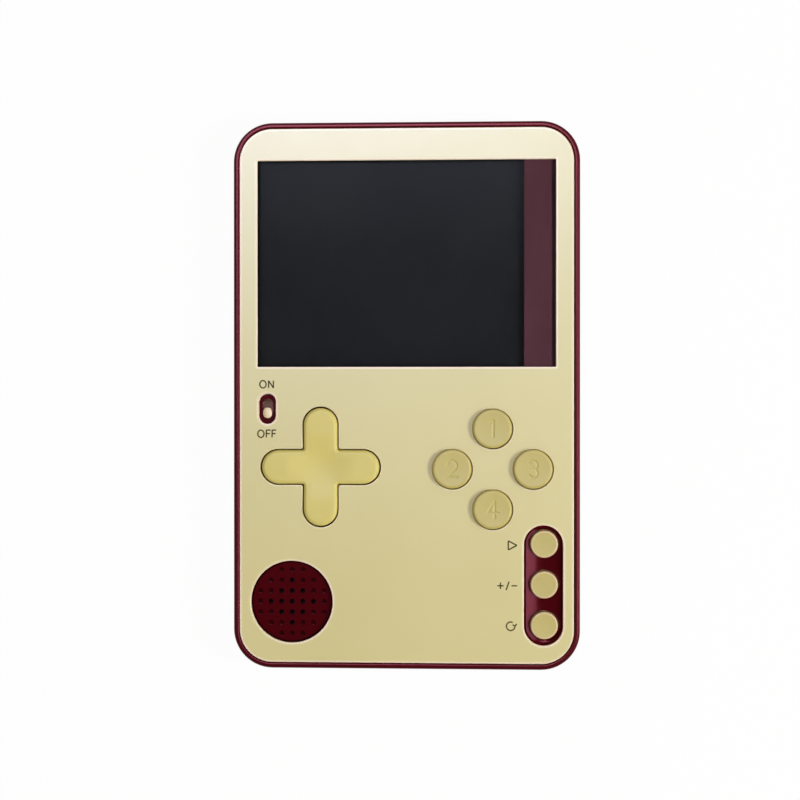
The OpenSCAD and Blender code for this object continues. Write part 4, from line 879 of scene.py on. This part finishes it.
# Screen-printed ink: flat maroon with the faint mottle of the mesh.
strip_ink = surface(
    "printed_ink_maroon", ("#55323b", "#59363f"), patch=6, roughness=(0.45, 0.6),
    grain=0.3, relief=0.002,
    Specular_IOR_Level=0.0,
)
strip_w = 5.9 * MM
strip_sink = 0.02 * MM
strip_t = 0.05 * MM
print_corner = 0.2 * MM
strip_top = plate_low[2] - strip_sink
strip_right = lens_high[0]
strip_left = window_middle[0] + window[0] / 2 - strip_w
strip_size = (strip_right - strip_left, (lens_high - lens_low)[1])
strip_middle = ((strip_left + strip_right) / 2, window_middle[1])
strip_path = rounded_path(*strip_size, print_corner, strip_middle, steps=4)
strip_profile = [[0, strip_top], [0, strip_top - strip_t]]
strip = piece("lens_strip", strip_ink, closed(sweep(strip_path, strip_profile)))
# Flat black like the ink, as painted shade of the dark gap round the screen.
gap_shade_paint = surface(
    "painted_gap_shade_black", ("#060607", "#0a0a0b"), patch=6, roughness=(0.5, 0.65),
    grain=0.3, relief=0.002,
    Specular_IOR_Level=0.0,
)
# Widths of the painted shade: wider on the left than on the other sides.
gap_shade_left = 0.45 * MM
gap_shade_line = 0.22 * MM
gap_shade_corner = 0.1 * MM
gap_shade_profile = [[0, strip_top - 2 * strip_t], [0, strip_top - 3 * strip_t]]
gap_shade_size = window - [gap_shade_left + gap_shade_line, 2 * gap_shade_line]
gap_shade_middle = window_middle + [(gap_shade_left - gap_shade_line) / 2, 0]
# The painted shade as a thin sheet under the lens.
mask = piece("lens_gap_shade", gap_shade_paint, plate_skin([
    sweep(rounded_path(*(lens_high - lens_low)[:2], print_corner, window_middle, steps=4), gap_shade_profile),
    sweep(hole(rounded_path(*gap_shade_size, gap_shade_corner, gap_shade_middle, steps=4)), gap_shade_profile),
]))
for made in (strip, mask):
    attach(made, "case")


# Printed signs
# Thin brown ink on the plate: the two ends of the switch, and a plain sign beside each function key.
def ribbon(line, half, low, high):
    """One stroke of ink: a low rounded strip carried along a line, spread square to its direction."""
    line = np.array(line)
    way = np.gradient(line, axis=0)
    side = np.stack([-way[:, 1], way[:, 0]], -1) / np.linalg.norm(way, axis=1)[:, None]
    across = np.array([-1, -0.8, 0.8, 1, 1, -1]) * half
    rise = np.array([(low + high) / 2, high, high, (low + high) / 2, low, low])
    plan = line[:, None] + across[:, None] * side[:, None]
    return closed(np.concatenate([plan, np.broadcast_to(rise[:, None], (*plan.shape[:2], 1))], -1))


ink_half = 0.13 * MM
ink_sink = 0.004 * MM
ink_rise = 0.012 * MM
ink_low = plate_high[2] - ink_sink
ink_high = plate_high[2] + ink_rise
letter_half = 0.69
letter_bar = 0.04
oval_half = 0.59
oval = arc(0, 0, 1, 90, 450, 40) * (oval_half, letter_half)
# Middle of each sign on the plate and its strokes round that middle, in millimetres.
signs = {
    "on": ((-26.2, 2.13), [
        oval - (0.73, 0), [(0.34, -letter_half), (0.34, letter_half)],
        [(0.34, letter_half), (1.24, -letter_half)], [(1.24, -letter_half), (1.24, letter_half)],
    ]),
    "off": ((-26.2, -7.18), [
        oval - (1.12, 0),
        [(-0.1, -letter_half), (-0.1, letter_half)], [(-0.1, letter_half), (0.72, letter_half)],
        [(-0.1, letter_bar), (0.6, letter_bar)],
        [(1.0, -letter_half), (1.0, letter_half)], [(1.0, letter_half), (1.75, letter_half)],
        [(1.0, letter_bar), (1.65, letter_bar)],
    ]),
    "play": ((19.9, -27.95), [
        [(-0.75, -0.85), (-0.75, 0.85)], [(-0.75, 0.85), (0.85, 0)], [(0.85, 0), (-0.75, -0.85)],
    ]),
    "volume": ((19.0, -35.5), [
        [(-1.9, 0), (-0.7, 0)], [(-1.3, -0.6), (-1.3, 0.6)],
        [(-0.25, -0.8), (0.3, 0.8)], [(0.75, 0), (1.8, 0)],
    ]),
    "again": ((19.6, -43.05), [
        arc(0, 0, 0.8, 60, 360, 40), [(0.8, 0), (0.35, 0.3)], [(0.8, 0), (1.1, 0.45)],
    ]),
}
# Pad-printed ink: flat brown, with hardly any gloss of its own.
sign_ink = surface(
    "printed_ink_brown", ("#4c4220", "#5a5026"), patch=1, roughness=(0.5, 0.65),
    grain=0.15, relief=0.002,
    Specular_IOR_Level=0.08,
)
for name, (centre, lines) in signs.items():
    skins = [ribbon((np.array(line) + centre) * MM, ink_half, ink_low, ink_high) for line in lines]
    sign = piece(f"sign_{name}", sign_ink, *skins)
    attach(sign, "case")


# Floor, light and camera
# The console lies on a plain white floor. A lamp on the right draws the keys' shadows, a cool softbox
# past the upper edge and a panel on the right give the plate its sheen, and the room fills the rest.
def shown_to_eye(tree):
    """1 where a ray comes from the camera, from gloss or through glass, and 0 for light that falls."""
    path = add(tree, "LightPath").outputs
    seen = add(tree, "Math", {0: path["Is Camera Ray"], 1: path["Is Glossy Ray"]}, operation="MAXIMUM")
    seen = add(tree, "Math", {0: seen.outputs[0], 1: path["Is Transmission Ray"]}, operation="MAXIMUM")
    return seen.outputs[0]


floor_half = 3.0
paper_white = 0.96
floor_mesh = bpy.data.meshes.new("floor")
floor_mesh.from_pydata([(-floor_half, -floor_half, 0), (floor_half, -floor_half, 0),
                        (floor_half, floor_half, 0), (-floor_half, floor_half, 0)], [], [(0, 1, 2, 3)])
floor = bpy.data.objects.new("floor", floor_mesh)
bpy.context.scene.collection.objects.link(floor)
floor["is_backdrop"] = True
# Matt white paper: plain white to the eye, but for the share of fallen light that shows the shadow.
paper = bpy.data.materials.new("white_paper")
paper.use_nodes = True
paper.node_tree.nodes.clear()
paper_seen = shown_to_eye(paper.node_tree)
paper_share = add(paper.node_tree, "Math", {0: paper_seen, 1: paper_white}, operation="MULTIPLY")
paper_skin = add(paper.node_tree, "BsdfPrincipled", {"Base Color": linear("#f4f4f4"), "Roughness": 0.8})
paper_glow = add(paper.node_tree, "Emission", {"Strength": 1.0})
paper_mix = add(paper.node_tree, "MixShader", {
    0: paper_share.outputs[0], 1: paper_skin.outputs[0], 2: paper_glow.outputs[0]})
add(paper.node_tree, "OutputMaterial", {"Surface": paper_mix.outputs[0]})
floor_mesh.materials.append(paper)

scene = bpy.context.scene
scene.view_settings.view_transform = "Standard"
world = bpy.data.worlds.new("room")
scene.world = world
world.use_nodes = True
world.node_tree.nodes.clear()
room_fill = 0.555
ceiling = 0.06
wall_foot = 0.08
wall_head = 0.45
tree = world.node_tree
room_seen = shown_to_eye(tree)
up = add(tree, "SeparateXYZ", {0: add(tree, "TexCoord").outputs["Generated"]}).outputs["Z"]
shown = add(tree, "MapRange", {
    "Value": up, "From Min": wall_foot, "From Max": wall_head, "To Min": 1.0, "To Max": ceiling,
})
fill_light = add(tree, "Background", {"Color": linear("#fff8ee"), "Strength": room_fill})
shown_light = add(tree, "Background", {"Strength": shown.outputs[0]})
room = add(tree, "MixShader", {0: room_seen, 1: fill_light.outputs[0], 2: shown_light.outputs[0]})
add(tree, "OutputWorld", {"Surface": room.outputs[0]})


def lamp(name, watts, colour, size, place, target=(0, 0, 0)):
    """Area lamp of a width and a height, turned towards a point."""
    data = bpy.data.lights.new(name, "AREA")
    data.shape = "RECTANGLE"
    data.size, data.size_y = size
    data.energy = watts
    data.color = linear(colour)[:3]
    made = bpy.data.objects.new(name, data)
    made.location = place
    made.rotation_euler = (Vector(target) - Vector(place)).to_track_quat("-Z", "Y").to_euler()
    made.visible_camera = False
    made.visible_transmission = False
    scene.collection.objects.link(made)
    return made


lamp("key", 2.7, "#fbfcff", (0.14, 0.14), (0.531, -0.075, 0.45))
softbox = lamp("softbox", 8.3, "#d6deff", (0.32, 0.2), (-0.08, 0.222, 0.6), (-0.08, 0.222, 0))
side_panel = lamp("side_panel", 2.1, "#dce4ff", (0.24, 0.35), (0.33, -0.04, 0.5))
# The two cool lamps show only as sheen. The lens is kept out of them, because their glare on it
# would veil the screen.
sheen_dodgers = bpy.data.collections.new("sheen_dodgers")
sheen_dodgers.objects.link(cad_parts["screen_lens"])
sheen_dodgers.collection_objects[0].light_linking.link_state = "EXCLUDE"
for sheen in (softbox, side_panel):
    sheen.visible_diffuse = False
    sheen.light_linking.receiver_collection = sheen_dodgers

camera_place = Vector((22.2, 1.46, 380)) * MM
camera_target = Vector((-1.107, -0.815, 8)) * MM
back = (camera_place - camera_target).normalized()
right = Vector((0, 1, 0)).cross(back).normalized()
camera_data = bpy.data.cameras.new("camera")
camera_data.sensor_width = 36
camera_data.lens = 89.58
camera_data.clip_start = 0.01
camera = bpy.data.objects.new("camera", camera_data)
turned = Matrix((right, back.cross(right), back)).transposed().to_4x4()
camera.matrix_world = Matrix.Translation(camera_place) @ turned
scene.collection.objects.link(camera)
scene.camera = camera

low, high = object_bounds()
